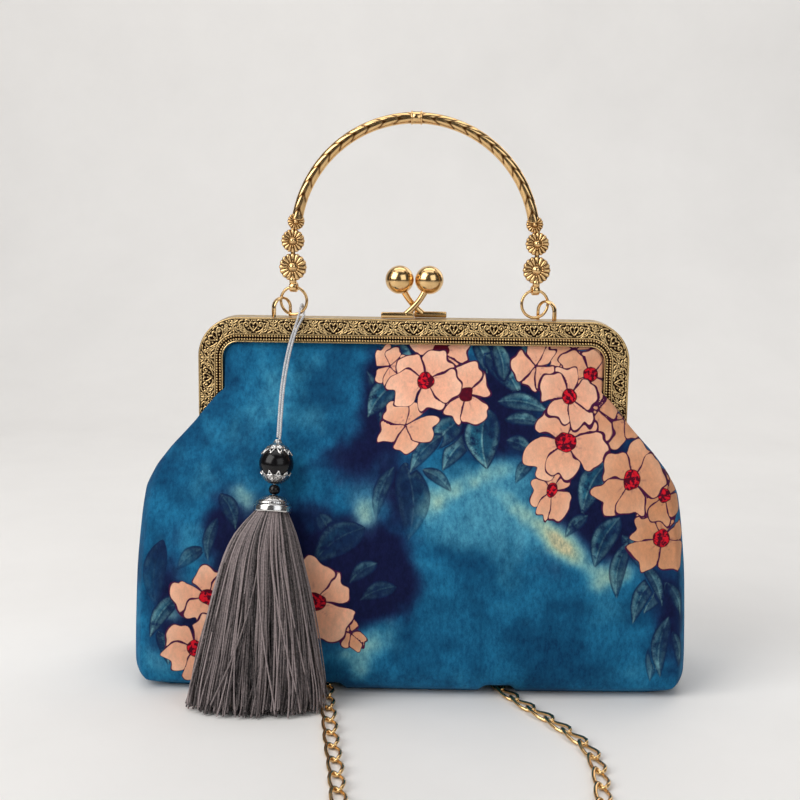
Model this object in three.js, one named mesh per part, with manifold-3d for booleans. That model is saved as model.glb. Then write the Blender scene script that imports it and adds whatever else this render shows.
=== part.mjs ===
// A clasp handbag: a soft printed pouch in an embossed metal frame with a kiss lock, a cast swing
// handle on two rings, a beaded tassel on a cord and a chain strap.
// Millimetres. +X is right as seen from the front, -Y is the front, +Z is up, and the origin is on
// the floor under the middle of the pouch.
import * as THREE from 'three';
import { mergeVertices } from 'three/addons/utils/BufferGeometryUtils.js';
import Module from 'manifold-3d';

const wasm = await Module();
wasm.setup();

// Driving dimensions
const GAP = 0.3;
const WELD = 1e-4;
const SIDES = { left: -1, right: 1 };

const FRAME = {
  half: 102.5, top: 174, legEnd: 126, corner: 19, band: 12, innerCorner: 8,
  depth: 6.5, plate: 1.5, rim: 3.5, seam: 0.15, arcSteps: 6,
};
const RELIEF = {
  pitch: 16.2, lastLeaf: 7, leafInset: 4.3, leafLong: 6.6, leafWide: 2.6, lean: 0.62, spread: 2.4,
  height: 0.5, lineInset: 8.8, lineWide: 1.6,
};
const PIN = { radius: 2.1, z: 131, sides: 12 };

const CLOTH = {
  wall: 1.5, baseWall: 1.6, crownPower: 2.4, edgeGap: 0.6, foldInset: 3.6, mouthInset: 3, lobeRun: 6, lip: 1.2,
};
const TUNNEL = { height: 3.7, left: -38.5, right: 42, floorHalf: 9.5, roofHalf: 5 };

const HANDLE = {
  y: -3.5, radius: 56.2, centreZ: 211.3, tube: 2.7, endZ: 220, tubeSides: 10, steps: 20,
  x: 57.5, spine: 1.8, spineSides: 8, spineFoot: 190.1, spineHead: 217, collar: 3.3, collarLong: 1.6,
};
const DAISY = { depth: 3.8, petals: 8, reaches: [0.86, 0.99, 0.99], boss: 0.4, bossRise: 1.35, bossSides: 6 };
const RING = { x: 57.1, z: 181.9, radius: 6.5, wire: 0.7, turn: 14, wireSides: 6, sides: 20 };
const EYE = { outer: 2.4, hole: 1.4, wide: 3.4, sides: 14 };
const LUG = { span: 9, strap: 1.2, top: 183.8, turn: 32.8, x: 62.8, y: -3.45, arcSteps: 7 };

const BALL = { sides: 12, rings: 8 };
const CLASP = {
  ball: 6.8, ballX: 7.05, ballZ: 192.3, barLong: 15.6, barHigh: 2.4, barDeep: 3, barY: 3.4,
  stem: 1.6, stemSides: 8, stemSteps: 8,
};

const DROP = { x: -61.9, y: -36.2, z: 109.7, tilt: 18, lean: 4, sides: 14, bead: 7.6 };
const CORD = { radius: 0.55, sides: 6, steps: 42 };
const FRINGE = { locks: 12, pointsPerLock: 3, groove: 0.09, ragged: 2.2 };

const CHAIN = { wide: 7, thick: 3, sides: 8, steps: 36 };
const STRAP_EYE = {
  x: 72, z: 168, plateWide: 7, plateHigh: 8, plateDeep: 1.4, ringDrop: 2, radius: 3, wire: 0.9, sides: 12,
};

// Rows from the floor to the mouth: height, how far the panel stands out at its middle and at its
// flank, the half width at the tip of the shoulder, and how deep the end is tucked behind the leg
const SECTIONS = [
  { z: 0, crown: 30, flank: 28, half: 119.5, tuck: 0 },
  { z: 5, crown: 38.5, flank: 35, half: 130.5, tuck: 0 },
  { z: 12, crown: 41, flank: 36, half: 132, tuck: 0 },
  { z: 52, crown: 42.2, flank: 33.6, half: 131, tuck: 0 },
  { z: 78, crown: 38.9, flank: 29.5, half: 129, tuck: 0 },
  { z: 92, crown: 35.4, flank: 25, half: 127.3, tuck: 0 },
  { z: 102, crown: 32.5, flank: 22, half: 124.5, tuck: 0.1 },
  { z: 112, crown: 28.5, flank: 18.5, half: 118.4, tuck: 0.35 },
  { z: 125.3, crown: 22.3, flank: 14, half: 106.6, tuck: 1 },
  { z: 137, crown: 16.8, flank: 10.9, half: 95.4, tuck: 1 },
  { z: 143, crown: 13.8, flank: 9.4, half: 86.8, tuck: 1 },
  { z: 152, crown: 9.4, flank: 8, half: 86.8, tuck: 1 },
  { z: 158.5, crown: 6.6, flank: 6.4, half: 85, tuck: 1 },
];
const CHANNEL_LEVELS = [161.3, 165.5, 168.5];

// The pouch's side, round from a panel to the middle: how far past the shoulder's tip, and the share
// of the flank's depth
const SIDE_CURVE = [
  { out: -1.6, share: 0.8 },
  { out: -0.2, share: 0.5 },
  { out: 0.5, share: 0.26 },
  { out: 0.9, share: 0.08 },
];

// Columns across a panel, as places along the base: pairs beside the tunnels are their walls
const COLUMNS = [
  -113.5, -80,
  TUNNEL.left - TUNNEL.floorHalf, TUNNEL.left - TUNNEL.roofHalf,
  TUNNEL.left + TUNNEL.roofHalf, TUNNEL.left + TUNNEL.floorHalf,
  -14, 9,
  TUNNEL.right - TUNNEL.floorHalf, TUNNEL.right - TUNNEL.roofHalf,
  TUNNEL.right + TUNNEL.roofHalf, TUNNEL.right + TUNNEL.floorHalf,
  80, 113.5,
];

// Three daisies from the top down: place of the middle and radius
const DAISIES = [
  { x: 56, z: 219, radius: 4.1 },
  { x: 57.5, z: 209.8, radius: 5.2 },
  { x: 57.5, z: 197.6, radius: 6.3 },
];

// Route of the front arm's stem, from its bar to its ball
const STEM_ROUTE = [[-4, -3.4, 175.9], [-1, -2.9, 178.7], [2.6, -2.3, 182.9], [6.25, -0.8, 189.05]];

// Fringe sections: height, middle, half width, half depth and how much it leans with the cap
const FRINGE_ROWS = [
  { z: 87.8, x: -63.5, y: -43.4, wide: 7.6, deep: 7.2, lean: 1 },
  { z: 80, x: -65.6, y: -46.9, wide: 13.9, deep: 9, lean: 0.55 },
  { z: 70, x: -66.6, y: -49.5, wide: 18, deep: 9.8, lean: 0.25 },
  { z: 50, x: -67, y: -52.7, wide: 23.3, deep: 10.5, lean: 0 },
  { z: 25, x: -67.9, y: -55.4, wide: 28.2, deep: 11.4, lean: 0 },
  { z: 9, x: -68.7, y: -56.9, wide: 30.6, deep: 12.2, lean: 0 },
  { z: 0.3, x: -70.5, y: -57.6, wide: 27.5, deep: 12.6, lean: 0 },
];

// Route of the doubled cord: up one strand, once round the ring and down the other
const CORD_ROUTE = [
  [-61.7, -32.5, 121.2], [-61.6, -28.3, 129.3], [-61, -20.6, 144.6], [-58.6, -12.6, 161],
  [-56, -8.6, 170], [-54.6, -7.5, 174.6], [-53.9, -6.4, 177.6], [-53.4, -4.4, 180.1],
  [-53.1, -2.1, 179.9], [-52.8, -0.8, 177.9], [-52.5, -1.8, 175.7], [-52.2, -4.4, 175.1],
  [-52.0, -6.4, 175.4], [-52.5, -7.8, 174.3], [-54.3, -8.6, 170], [-56.9, -12.6, 161],
  [-59.4, -20.6, 144.6], [-60.05, -28.3, 129.3], [-60.15, -32.5, 121.2],
];

// Routes of the chain: from an eye down the back, under the pouch, and out in front to the loop's end
const CHAIN_ROUTES = {
  left: [
    [-72, 11.6, 161.4], [-70.8, 13.2, 152], [-66.8, 18.6, 136], [-62, 26.4, 118], [-57, 34.6, 100],
    [-51.5, 41.8, 77], [-46, 44.5, 52], [-41.8, 45.9, 28], [-39.6, 46.2, 13], [-38.8, 45.6, 5.4],
    [-38.5, 41.5, 1.8], [-38.5, 30, 1.6], [-38.5, 0, 1.6], [-38.3, -36, 1.6], [-35.2, -66, 1.6],
    [-31.8, -96, 1.6], [-28.8, -118, 1.6], [-26.2, -142, 1.6], [-22, -172, 1.6], [-8, -204, 1.6],
    [8, -217.6, 1.6], [21.2, -219, 1.6],
  ],
  right: [
    [72, 11.6, 161.4], [70.8, 13.2, 152], [66.8, 18.6, 136], [62, 26.4, 118], [57, 34.6, 100],
    [51.5, 41.8, 77], [47.4, 44.5, 52], [44.4, 45.9, 28], [42.8, 46.2, 13], [42.2, 45.6, 5.4],
    [42, 41.5, 1.8], [42, 30, 1.6], [42, 0, 1.6], [42.4, -26, 1.6], [52, -48, 1.6],
    [61, -63, 1.6], [70, -80, 1.6], [76.4, -96, 1.6], [78.4, -112, 1.6], [77.6, -134, 1.6],
    [74, -160, 1.6], [66, -186, 1.6], [53, -206, 1.6], [36, -217.6, 1.6], [22.8, -219, 1.6],
  ],
};

const FINISH = {
  cloth: { color: 0x1f5f82, roughness: 0.9, metalness: 0 },
  antique: { color: 0xb79a5c, roughness: 0.42, metalness: 1 },
  gold: { color: 0xe0b874, roughness: 0.18, metalness: 1 },
  silver: { color: 0xb9b9bb, roughness: 0.3, metalness: 1 },
  black: { color: 0x0a0a0c, roughness: 0.08, metalness: 0 },
  thread: { color: 0x82787a, roughness: 0.7, metalness: 0 },
  cord: { color: 0xb4b4b6, roughness: 0.6, metalness: 0 },
};

// Meshes, joins and cuts
function closed(geometry) {
  const bare = new THREE.BufferGeometry();
  bare.setAttribute('position', geometry.getAttribute('position').clone());
  if (geometry.index) bare.setIndex(geometry.index.clone());
  const merged = mergeVertices(bare, WELD);
  const corners = merged.index.array;
  const kept = [];
  for (let i = 0; i < corners.length; i += 3) {
    const [a, b, c] = [corners[i], corners[i + 1], corners[i + 2]];
    if (a !== b && b !== c && c !== a) kept.push(a, b, c);
  }
  merged.setIndex(kept);
  return merged;
}

function solidOf(geometry) {
  const mesh = closed(geometry);
  return new wasm.Manifold(new wasm.Mesh({
    numProp: 3,
    vertProperties: new Float32Array(mesh.getAttribute('position').array),
    triVerts: new Uint32Array(mesh.index.array),
  }));
}

function geometryOf(solid) {
  const mesh = solid.getMesh();
  const geometry = new THREE.BufferGeometry();
  geometry.setAttribute('position', new THREE.BufferAttribute(mesh.vertProperties, 3));
  geometry.setIndex(new THREE.BufferAttribute(mesh.triVerts, 1));
  return geometry;
}

function joined(shapes) {
  return geometryOf(shapes.map(solidOf).reduce((whole, next) => whole.add(next)));
}

function cut(shape, tools) {
  return geometryOf(tools.map(solidOf).reduce((whole, tool) => whole.subtract(tool), solidOf(shape)));
}

const radians = THREE.MathUtils.degToRad;

// Extrudes an outline drawn in X and Z, from front to back
function extrudeBack(shape, front, back, curveSegments) {
  const geometry = new THREE.ExtrudeGeometry(shape, {
    depth: back - front, bevelEnabled: false, curveSegments,
  });
  return geometry.rotateX(Math.PI / 2).translate(0, back, 0);
}

function polygon(sides, halfWide, halfHigh) {
  const corners = [];
  for (let i = 0; i < sides; i += 1) {
    const angle = ((i + 0.5) / sides) * 2 * Math.PI;
    corners.push(new THREE.Vector2(halfWide * Math.cos(angle), halfHigh * Math.sin(angle)));
  }
  return new THREE.Shape(corners);
}

function tube(path, section, steps) {
  return new THREE.ExtrudeGeometry(section, { extrudePath: path, steps, bevelEnabled: false });
}

function curveThrough(points) {
  return new THREE.CatmullRomCurve3(points.map((point) => new THREE.Vector3(...point)), false, 'centripetal');
}

// A closed skin gathered from loops of points
class Skin {
  constructor() {
    this.points = [];
    this.faces = [];
  }

  loop(points) {
    const first = this.points.length;
    this.points.push(...points);
    return points.map((_, i) => first + i);
  }

  band(lower, upper, inward = false) {
    lower.forEach((_, i) => {
      const j = (i + 1) % lower.length;
      const quad = inward
        ? [lower[i], upper[j], lower[j], lower[i], upper[i], upper[j]]
        : [lower[i], lower[j], upper[j], lower[i], upper[j], upper[i]];
      this.faces.push(...quad);
    });
  }

  // Closes a loop whose first half is the front and second half the back
  floor(loop, upward) {
    const last = loop.length - 1;
    for (let i = 0; i < loop.length / 2 - 1; i += 1) {
      const quad = [loop[i], loop[last - i], loop[last - i - 1], loop[i + 1]];
      if (upward) quad.reverse();
      this.faces.push(quad[0], quad[1], quad[2], quad[0], quad[2], quad[3]);
    }
  }

  fan(loop, apex, upward) {
    const tip = this.points.push(apex) - 1;
    loop.forEach((corner, i) => {
      const next = loop[(i + 1) % loop.length];
      this.faces.push(...(upward ? [corner, next, tip] : [next, corner, tip]));
    });
  }

  geometry() {
    const geometry = new THREE.BufferGeometry().setFromPoints(this.points);
    geometry.setIndex(this.faces);
    return closed(geometry);
  }
}

// Metal frame
function archShape(inset, band, innerCorner) {
  const half = FRAME.half - inset;
  const top = FRAME.top - inset;
  const corner = FRAME.corner - inset;
  const innerHalf = half - band;
  const innerTop = top - band;
  const shape = new THREE.Shape();
  shape.moveTo(-half, FRAME.legEnd);
  shape.lineTo(-half, top - corner);
  shape.absarc(corner - half, top - corner, corner, Math.PI, Math.PI / 2, true);
  shape.lineTo(half - corner, top);
  shape.absarc(half - corner, top - corner, corner, Math.PI / 2, 0, true);
  shape.lineTo(half, FRAME.legEnd);
  shape.lineTo(innerHalf, FRAME.legEnd);
  shape.lineTo(innerHalf, innerTop - innerCorner);
  shape.absarc(innerHalf - innerCorner, innerTop - innerCorner, innerCorner, 0, Math.PI / 2, false);
  shape.lineTo(innerCorner - innerHalf, innerTop);
  shape.absarc(innerCorner - innerHalf, innerTop - innerCorner, innerCorner, Math.PI / 2, Math.PI, false);
  shape.lineTo(-innerHalf, FRAME.legEnd);
  return shape;
}

// Place and outward direction at a distance from the middle of the top, on a line inset from the edge
function alongBand(distance, inset) {
  const corner = FRAME.corner - inset;
  const straight = FRAME.half - FRAME.corner;
  const arc = corner * Math.PI / 2;
  const side = Math.sign(distance);
  const run = Math.abs(distance);
  const turn = THREE.MathUtils.clamp((run - straight) / corner, 0, Math.PI / 2);
  const level = Math.min(run, straight);
  const drop = Math.max(run - straight - arc, 0);
  return {
    x: side * (level + corner * Math.sin(turn)),
    z: FRAME.top - FRAME.corner + corner * Math.cos(turn) - drop,
    outward: Math.PI / 2 - side * turn,
  };
}

function reliefLeaf(place, side) {
  const long = RELIEF.leafLong / 2;
  const wide = RELIEF.leafWide / 2;
  const corners = [[-long, 0], [0, -wide], [long, 0], [0, wide]];
  const angle = place.outward - side * RELIEF.lean;
  const aside = place.outward - Math.PI / 2;
  const middle = new THREE.Vector2(
    place.x + side * RELIEF.spread * Math.cos(aside),
    place.z + side * RELIEF.spread * Math.sin(aside),
  );
  const origin = new THREE.Vector2();
  return new THREE.Shape(corners.map(([along, across]) => (
    new THREE.Vector2(along, across).rotateAround(origin, angle).add(middle)
  )));
}

function frameHalf() {
  const front = -FRAME.depth;
  const raised = front - RELIEF.height;
  const behind = front + FRAME.plate / 2;
  const rimCorner = FRAME.corner - FRAME.rim;
  const shapes = [
    extrudeBack(archShape(0, FRAME.band, FRAME.innerCorner), front, front + FRAME.plate, FRAME.arcSteps),
    extrudeBack(archShape(0, FRAME.rim, rimCorner), front, -FRAME.seam, FRAME.arcSteps),
  ];
  for (let leaf = -RELIEF.lastLeaf; leaf <= RELIEF.lastLeaf; leaf += 1) {
    const place = alongBand(leaf * RELIEF.pitch, RELIEF.leafInset);
    shapes.push(extrudeBack(reliefLeaf(place, -1), raised, behind));
    shapes.push(extrudeBack(reliefLeaf(place, 1), raised, behind));
  }
  const lineCorner = FRAME.corner - RELIEF.lineInset - RELIEF.lineWide;
  const line = archShape(RELIEF.lineInset, RELIEF.lineWide, lineCorner);
  shapes.push(extrudeBack(line, raised, behind, FRAME.arcSteps));
  const notches = Object.values(SIDES).map((side) => pinRod(side, PIN.radius + GAP, FRAME.rim * 2));
  return cut(joined(shapes), notches);
}

function pinRod(side, radius, length) {
  const rod = new THREE.CylinderGeometry(radius, radius, length, PIN.sides);
  return rod.rotateZ(Math.PI / 2).translate(side * (FRAME.half - FRAME.rim / 2), 0, PIN.z);
}

// Pouch
const CHANNEL = {
  depth: FRAME.depth - FRAME.plate - GAP,
  half: FRAME.half - FRAME.rim - GAP,
  top: FRAME.top - FRAME.rim - GAP,
  corner: FRAME.corner - FRAME.rim - GAP,
};
const MOUTH = { half: FRAME.half - FRAME.band, top: FRAME.top - FRAME.band, corner: FRAME.innerCorner };

// Half width at a height inside an arch with rounded upper corners
function halfWithin(arch, z) {
  const rise = z - (arch.top - arch.corner);
  if (rise <= 0) return arch.half;
  return arch.half - arch.corner + Math.sqrt(arch.corner ** 2 - Math.min(rise, arch.corner) ** 2);
}

function channelRow(z) {
  const half = halfWithin(MOUTH, CHANNEL_LEVELS[0]) - CLOTH.mouthInset;
  return { z, crown: CHANNEL.depth, flank: CHANNEL.depth, half, tuck: 1 };
}

// The hollow stops short of the fold that hangs over the frame's leg
function hollowRow(row) {
  const edge = halfWithin(MOUTH, row.z) - CLOTH.foldInset;
  return { ...row, half: THREE.MathUtils.lerp(row.half, Math.min(row.half, edge), row.tuck) };
}

// The end of a panel, from the shoulder's tip round to the tuck behind the frame's leg
function endPoints(row) {
  const free = row.flank > CHANNEL.depth;
  const lip = free ? CLOTH.lip : 0;
  const edge = halfWithin(MOUTH, Math.min(row.z, CHANNEL_LEVELS[0])) - CLOTH.edgeGap;
  const overBand = FRAME.depth + RELIEF.height + GAP;
  const tip = Math.max(SIDE_CURVE[0].share * row.flank, CHANNEL.depth + lip);
  const plain = SIDE_CURVE.map(({ out, share }) => [row.half + out, share * row.flank]);
  const tucked = [
    [row.half, tip],
    [edge - (free ? 0 : CLOTH.edgeGap), Math.min(overBand, tip - lip / 4)],
    [edge, CHANNEL.depth],
    [halfWithin(CHANNEL, row.z), CHANNEL.depth],
  ];
  return plain.map(([x, depth], i) => new THREE.Vector2(
    THREE.MathUtils.lerp(x, tucked[i][0], row.tuck),
    THREE.MathUtils.lerp(depth, tucked[i][1], row.tuck),
  ));
}

// Outline at a row: the front from left to right, then the back from right to left
function outline(row) {
  const reach = row.half - CLOTH.lobeRun;
  const lastColumn = COLUMNS[COLUMNS.length - 1];
  const columns = COLUMNS.map((place) => {
    const along = place / lastColumn;
    const swell = 1 - Math.abs(along) ** CLOTH.crownPower;
    return new THREE.Vector2(along * reach, row.flank + (row.crown - row.flank) * swell);
  });
  const end = endPoints(row);
  const start = end.map((point) => new THREE.Vector2(-point.x, point.y)).reverse();
  const panel = [...start, ...columns, ...end];
  const front = panel.map((point) => new THREE.Vector2(point.x, -point.y));
  return [...front, ...panel.reverse()];
}

function inset(points, distance) {
  const sharpest = 0.25;
  return points.map((point, i) => {
    const before = points[(i + points.length - 1) % points.length];
    const after = points[(i + 1) % points.length];
    const arrive = point.clone().sub(before).normalize();
    const leave = after.clone().sub(point).normalize();
    const sum = new THREE.Vector2(-arrive.y - leave.y, arrive.x + leave.x);
    return point.clone().addScaledVector(sum, distance / Math.max(1 + arrive.dot(leave), sharpest));
  });
}

function tunnelHeight(x) {
  const nearest = Math.min(Math.abs(x - TUNNEL.left), Math.abs(x - TUNNEL.right));
  return nearest < TUNNEL.roofHalf + WELD ? TUNNEL.height : 0;
}

function pouch() {
  const skin = new Skin();
  const rows = [...SECTIONS, ...CHANNEL_LEVELS.map(channelRow)];
  const floorLift = [CLOTH.baseWall, CLOTH.wall];
  const outer = [];
  const inner = [];
  rows.forEach((row, level) => {
    const points = outline(row);
    const heights = points.map((point) => row.z + (level === 0 ? tunnelHeight(point.x) : 0));
    const lift = floorLift[level] ?? 0;
    outer.push(skin.loop(points.map((point, i) => new THREE.Vector3(point.x, point.y, heights[i]))));
    const hollow = inset(outline(hollowRow(row)), CLOTH.wall);
    inner.push(skin.loop(hollow.map((point, i) => new THREE.Vector3(point.x, point.y, heights[i] + lift))));
  });
  for (let level = 1; level < rows.length; level += 1) {
    skin.band(outer[level - 1], outer[level]);
    skin.band(inner[level - 1], inner[level], true);
  }
  skin.band(outer.at(-1), inner.at(-1));
  skin.floor(outer[0], false);
  skin.floor(inner[0], true);
  return skin.geometry();
}

// Handle
class ArchPath extends THREE.Curve {
  getPoint(t, target = new THREE.Vector3()) {
    const endAngle = Math.asin((HANDLE.endZ - HANDLE.centreZ) / HANDLE.radius);
    const angle = THREE.MathUtils.lerp(endAngle, Math.PI - endAngle, t);
    return target.set(
      HANDLE.radius * Math.cos(angle), HANDLE.y, HANDLE.centreZ + HANDLE.radius * Math.sin(angle),
    );
  }
}

function daisy(x, z, radius) {
  const edge = [];
  const count = DAISY.petals * DAISY.reaches.length;
  for (let i = 0; i < count; i += 1) {
    const angle = (i / count) * 2 * Math.PI;
    const reach = radius * DAISY.reaches[i % DAISY.reaches.length];
    edge.push(new THREE.Vector2(x + reach * Math.cos(angle), z + reach * Math.sin(angle)));
  }
  const half = DAISY.depth / 2;
  const disc = extrudeBack(new THREE.Shape(edge), HANDLE.y - half, HANDLE.y + half);
  const boss = new THREE.SphereGeometry(1, DAISY.bossSides, DAISY.bossSides / 2);
  boss.scale(radius * DAISY.boss, half * DAISY.bossRise, radius * DAISY.boss);
  return [disc, boss.translate(x, HANDLE.y, z)];
}

function eyeTube(side, radius, length) {
  const rod = new THREE.CylinderGeometry(radius, radius, length, EYE.sides).rotateZ(Math.PI / 2);
  return rod.rotateZ(side * radians(RING.turn)).translate(side * RING.x, HANDLE.y, RING.z + RING.radius);
}

function handle() {
  const shapes = [tube(new ArchPath(), polygon(HANDLE.tubeSides, HANDLE.tube, HANDLE.tube), HANDLE.steps)];
  const band = new THREE.CylinderGeometry(HANDLE.collar, HANDLE.collar, HANDLE.collarLong, HANDLE.tubeSides);
  shapes.push(band.rotateZ(Math.PI / 2).translate(0, HANDLE.y, HANDLE.centreZ + HANDLE.radius));
  const holes = [];
  for (const side of Object.values(SIDES)) {
    const long = HANDLE.spineHead - HANDLE.spineFoot;
    const spine = new THREE.CylinderGeometry(HANDLE.spine, HANDLE.spine, long, HANDLE.spineSides);
    spine.rotateX(Math.PI / 2);
    shapes.push(spine.translate(side * HANDLE.x, HANDLE.y, HANDLE.spineFoot + long / 2));
    DAISIES.forEach(({ x, z, radius }) => shapes.push(...daisy(side * x, z, radius)));
    shapes.push(eyeTube(side, EYE.outer, EYE.wide));
    holes.push(eyeTube(side, EYE.hole, EYE.wide * 2));
  }
  return cut(joined(shapes), holes);
}

function jumpRing(side) {
  const ring = new THREE.TorusGeometry(RING.radius, RING.wire, RING.wireSides, RING.sides).rotateX(Math.PI / 2);
  return ring.rotateZ(side * radians(RING.turn)).translate(side * RING.x, HANDLE.y, RING.z);
}

function lug(side) {
  const outer = (LUG.span + LUG.strap) / 2;
  const inner = (LUG.span - LUG.strap) / 2;
  const foot = FRAME.top + GAP;
  const spring = LUG.top - outer;
  const shape = new THREE.Shape();
  shape.moveTo(-outer, foot);
  shape.lineTo(-inner, foot);
  shape.lineTo(-inner, spring);
  shape.absarc(0, spring, inner, Math.PI, 0, true);
  shape.lineTo(inner, foot);
  shape.lineTo(outer, foot);
  shape.lineTo(outer, spring);
  shape.absarc(0, spring, outer, 0, Math.PI, false);
  const arch = extrudeBack(shape, -LUG.strap / 2, LUG.strap / 2, LUG.arcSteps);
  return arch.rotateZ(-side * radians(LUG.turn)).translate(side * LUG.x, LUG.y, 0);
}

// Kiss lock: the front arm has its bar on the left and its ball on the right
function claspArm() {
  const foot = FRAME.top + GAP;
  const bar = new THREE.BoxGeometry(CLASP.barLong, CLASP.barDeep, CLASP.barHigh);
  bar.translate(-CLASP.barLong / 2, -CLASP.barY, foot + CLASP.barHigh / 2);
  const section = polygon(CLASP.stemSides, CLASP.stem, CLASP.stem);
  const stem = tube(curveThrough(STEM_ROUTE), section, CLASP.stemSteps);
  const ball = new THREE.SphereGeometry(CLASP.ball, BALL.sides, BALL.rings);
  return joined([bar, stem, ball.translate(CLASP.ballX, 0, CLASP.ballZ)]);
}

// Tassel drop: profiles of radius and height, measured from the middle of the large bead
const DROP_PROFILES = {
  bead_cap_top: [
    [0, 8], [2, 7.75], [4.3, 6.75], [5.4, 5.95], [5.9, 6.6], [4.6, 8.1], [2.3, 9.6], [1.7, 11.2], [0, 11.2],
  ],
  bead_cap_bottom: [
    [0, -9.4], [2.2, -9.4], [4.8, -8], [6.7, -5.9], [6.2, -5.2], [4.3, -6.75], [2, -7.75], [0, -8],
  ],
  bead_small: [[0, -14.3], [1.7, -14], [2.6, -12.6], [2.6, -11.4], [1.7, -10], [0, -9.7]],
  tassel_cap: [
    [0, -22.6], [8.1, -22.6], [8.1, -19.2], [7.1, -18.8], [6.9, -17.4], [5.3, -15.6], [2.4, -14.6], [0, -14.6],
  ],
};

function turned(profile) {
  const points = profile.map(([radius, height]) => new THREE.Vector2(radius, height));
  return new THREE.LatheGeometry(points, DROP.sides).rotateX(Math.PI / 2);
}

function fringe() {
  const skin = new Skin();
  const count = FRINGE.locks * FRINGE.pointsPerLock;
  const loops = FRINGE_ROWS.map((row, level) => {
    const lowest = level === FRINGE_ROWS.length - 1;
    const points = [];
    for (let i = 0; i < count; i += 1) {
      const angle = (i / count) * 2 * Math.PI;
      const lock = Math.floor(i / FRINGE.pointsPerLock);
      const reach = i % FRINGE.pointsPerLock === 0 ? 1 - FRINGE.groove : 1;
      const aside = row.deep * reach * Math.sin(angle);
      const ragged = lowest ? FRINGE.ragged * Math.abs(Math.sin(lock * lock)) : 0;
      points.push(new THREE.Vector3(
        row.x + row.wide * reach * Math.cos(angle), row.y + aside,
        row.z - row.lean * aside * Math.tan(radians(DROP.tilt)) + ragged,
      ));
    }
    return skin.loop(points);
  });
  for (let level = 1; level < loops.length; level += 1) skin.band(loops[level], loops[level - 1]);
  const [head, foot] = [FRINGE_ROWS[0], FRINGE_ROWS.at(-1)];
  skin.fan(loops[0], new THREE.Vector3(head.x, head.y, head.z), true);
  skin.fan(loops.at(-1), new THREE.Vector3(foot.x, foot.y, foot.z + FRINGE.ragged), false);
  return skin.geometry();
}

// Chain strap
function strapEye(side) {
  const front = FRAME.depth + RELIEF.height + GAP;
  const plate = new THREE.BoxGeometry(STRAP_EYE.plateWide, STRAP_EYE.plateDeep, STRAP_EYE.plateHigh);
  plate.translate(side * STRAP_EYE.x, front + STRAP_EYE.plateDeep / 2, STRAP_EYE.z);
  const ring = new THREE.TorusGeometry(STRAP_EYE.radius, STRAP_EYE.wire, RING.wireSides, STRAP_EYE.sides);
  ring.rotateY(Math.PI / 2);
  const reach = front + GAP + STRAP_EYE.radius + STRAP_EYE.wire;
  ring.translate(side * STRAP_EYE.x, reach, STRAP_EYE.z - STRAP_EYE.ringDrop);
  return joined([plate, ring]);
}

function chainHalf(route) {
  return tube(curveThrough(route), polygon(CHAIN.sides, CHAIN.wide / 2, CHAIN.thick / 2), CHAIN.steps);
}

// Assembly
const handbag = new THREE.Group();

function add(parent, name, geometry, finish) {
  const mesh = new THREE.Mesh(closed(geometry), new THREE.MeshStandardMaterial(FINISH[finish]));
  mesh.name = name;
  parent.add(mesh);
}

add(handbag, 'bag_body', pouch(), 'cloth');
add(handbag, 'frame_front', frameHalf(), 'antique');
add(handbag, 'frame_back', frameHalf().rotateZ(Math.PI), 'antique');
add(handbag, 'clasp_front', claspArm(), 'gold');
add(handbag, 'clasp_back', claspArm().rotateZ(Math.PI), 'gold');

for (const [name, side] of Object.entries(SIDES)) {
  add(handbag, `hinge_pin_${name}`, pinRod(side, PIN.radius, FRAME.rim - GAP / 2), 'antique');
  add(handbag, `lug_${name}`, lug(side), 'gold');
  add(handbag, `strap_eye_${name}`, strapEye(side), 'gold');
  add(handbag, `strap_chain_${name}`, chainHalf(CHAIN_ROUTES[name]), 'gold');
}

const swing = new THREE.Group();
add(swing, 'handle', handle(), 'gold');
add(swing, 'ring_left', jumpRing(SIDES.left), 'gold');
add(swing, 'ring_right', jumpRing(SIDES.right), 'gold');
handbag.add(swing);

const drop = new THREE.Group();
drop.position.set(DROP.x, DROP.y, DROP.z);
drop.rotation.x = -radians(DROP.tilt);
drop.rotation.y = radians(DROP.lean);
const bead = new THREE.SphereGeometry(DROP.bead, BALL.sides, BALL.rings).rotateX(Math.PI / 2);
add(drop, 'bead_large', bead, 'black');
add(drop, 'bead_cap_top', turned(DROP_PROFILES.bead_cap_top), 'silver');
add(drop, 'bead_cap_bottom', turned(DROP_PROFILES.bead_cap_bottom), 'silver');
add(drop, 'bead_small', turned(DROP_PROFILES.bead_small), 'black');
add(drop, 'tassel_cap', turned(DROP_PROFILES.tassel_cap), 'silver');
handbag.add(drop);

const cordSection = polygon(CORD.sides, CORD.radius, CORD.radius);
add(handbag, 'tassel_cord', tube(curveThrough(CORD_ROUTE), cordSection, CORD.steps), 'cord');
add(handbag, 'tassel_fringe', fringe(), 'thread');

export default handbag;
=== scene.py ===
# A clasp handbag: printed cloth pouch in an embossed metal frame, with a kiss lock, a cast handle on
# two rings, a beaded tassel and a chain strap. Tables are in millimetres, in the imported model's frame.
import math

import bmesh
import bpy
import numpy as np
from mathutils import Matrix, Vector


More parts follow.
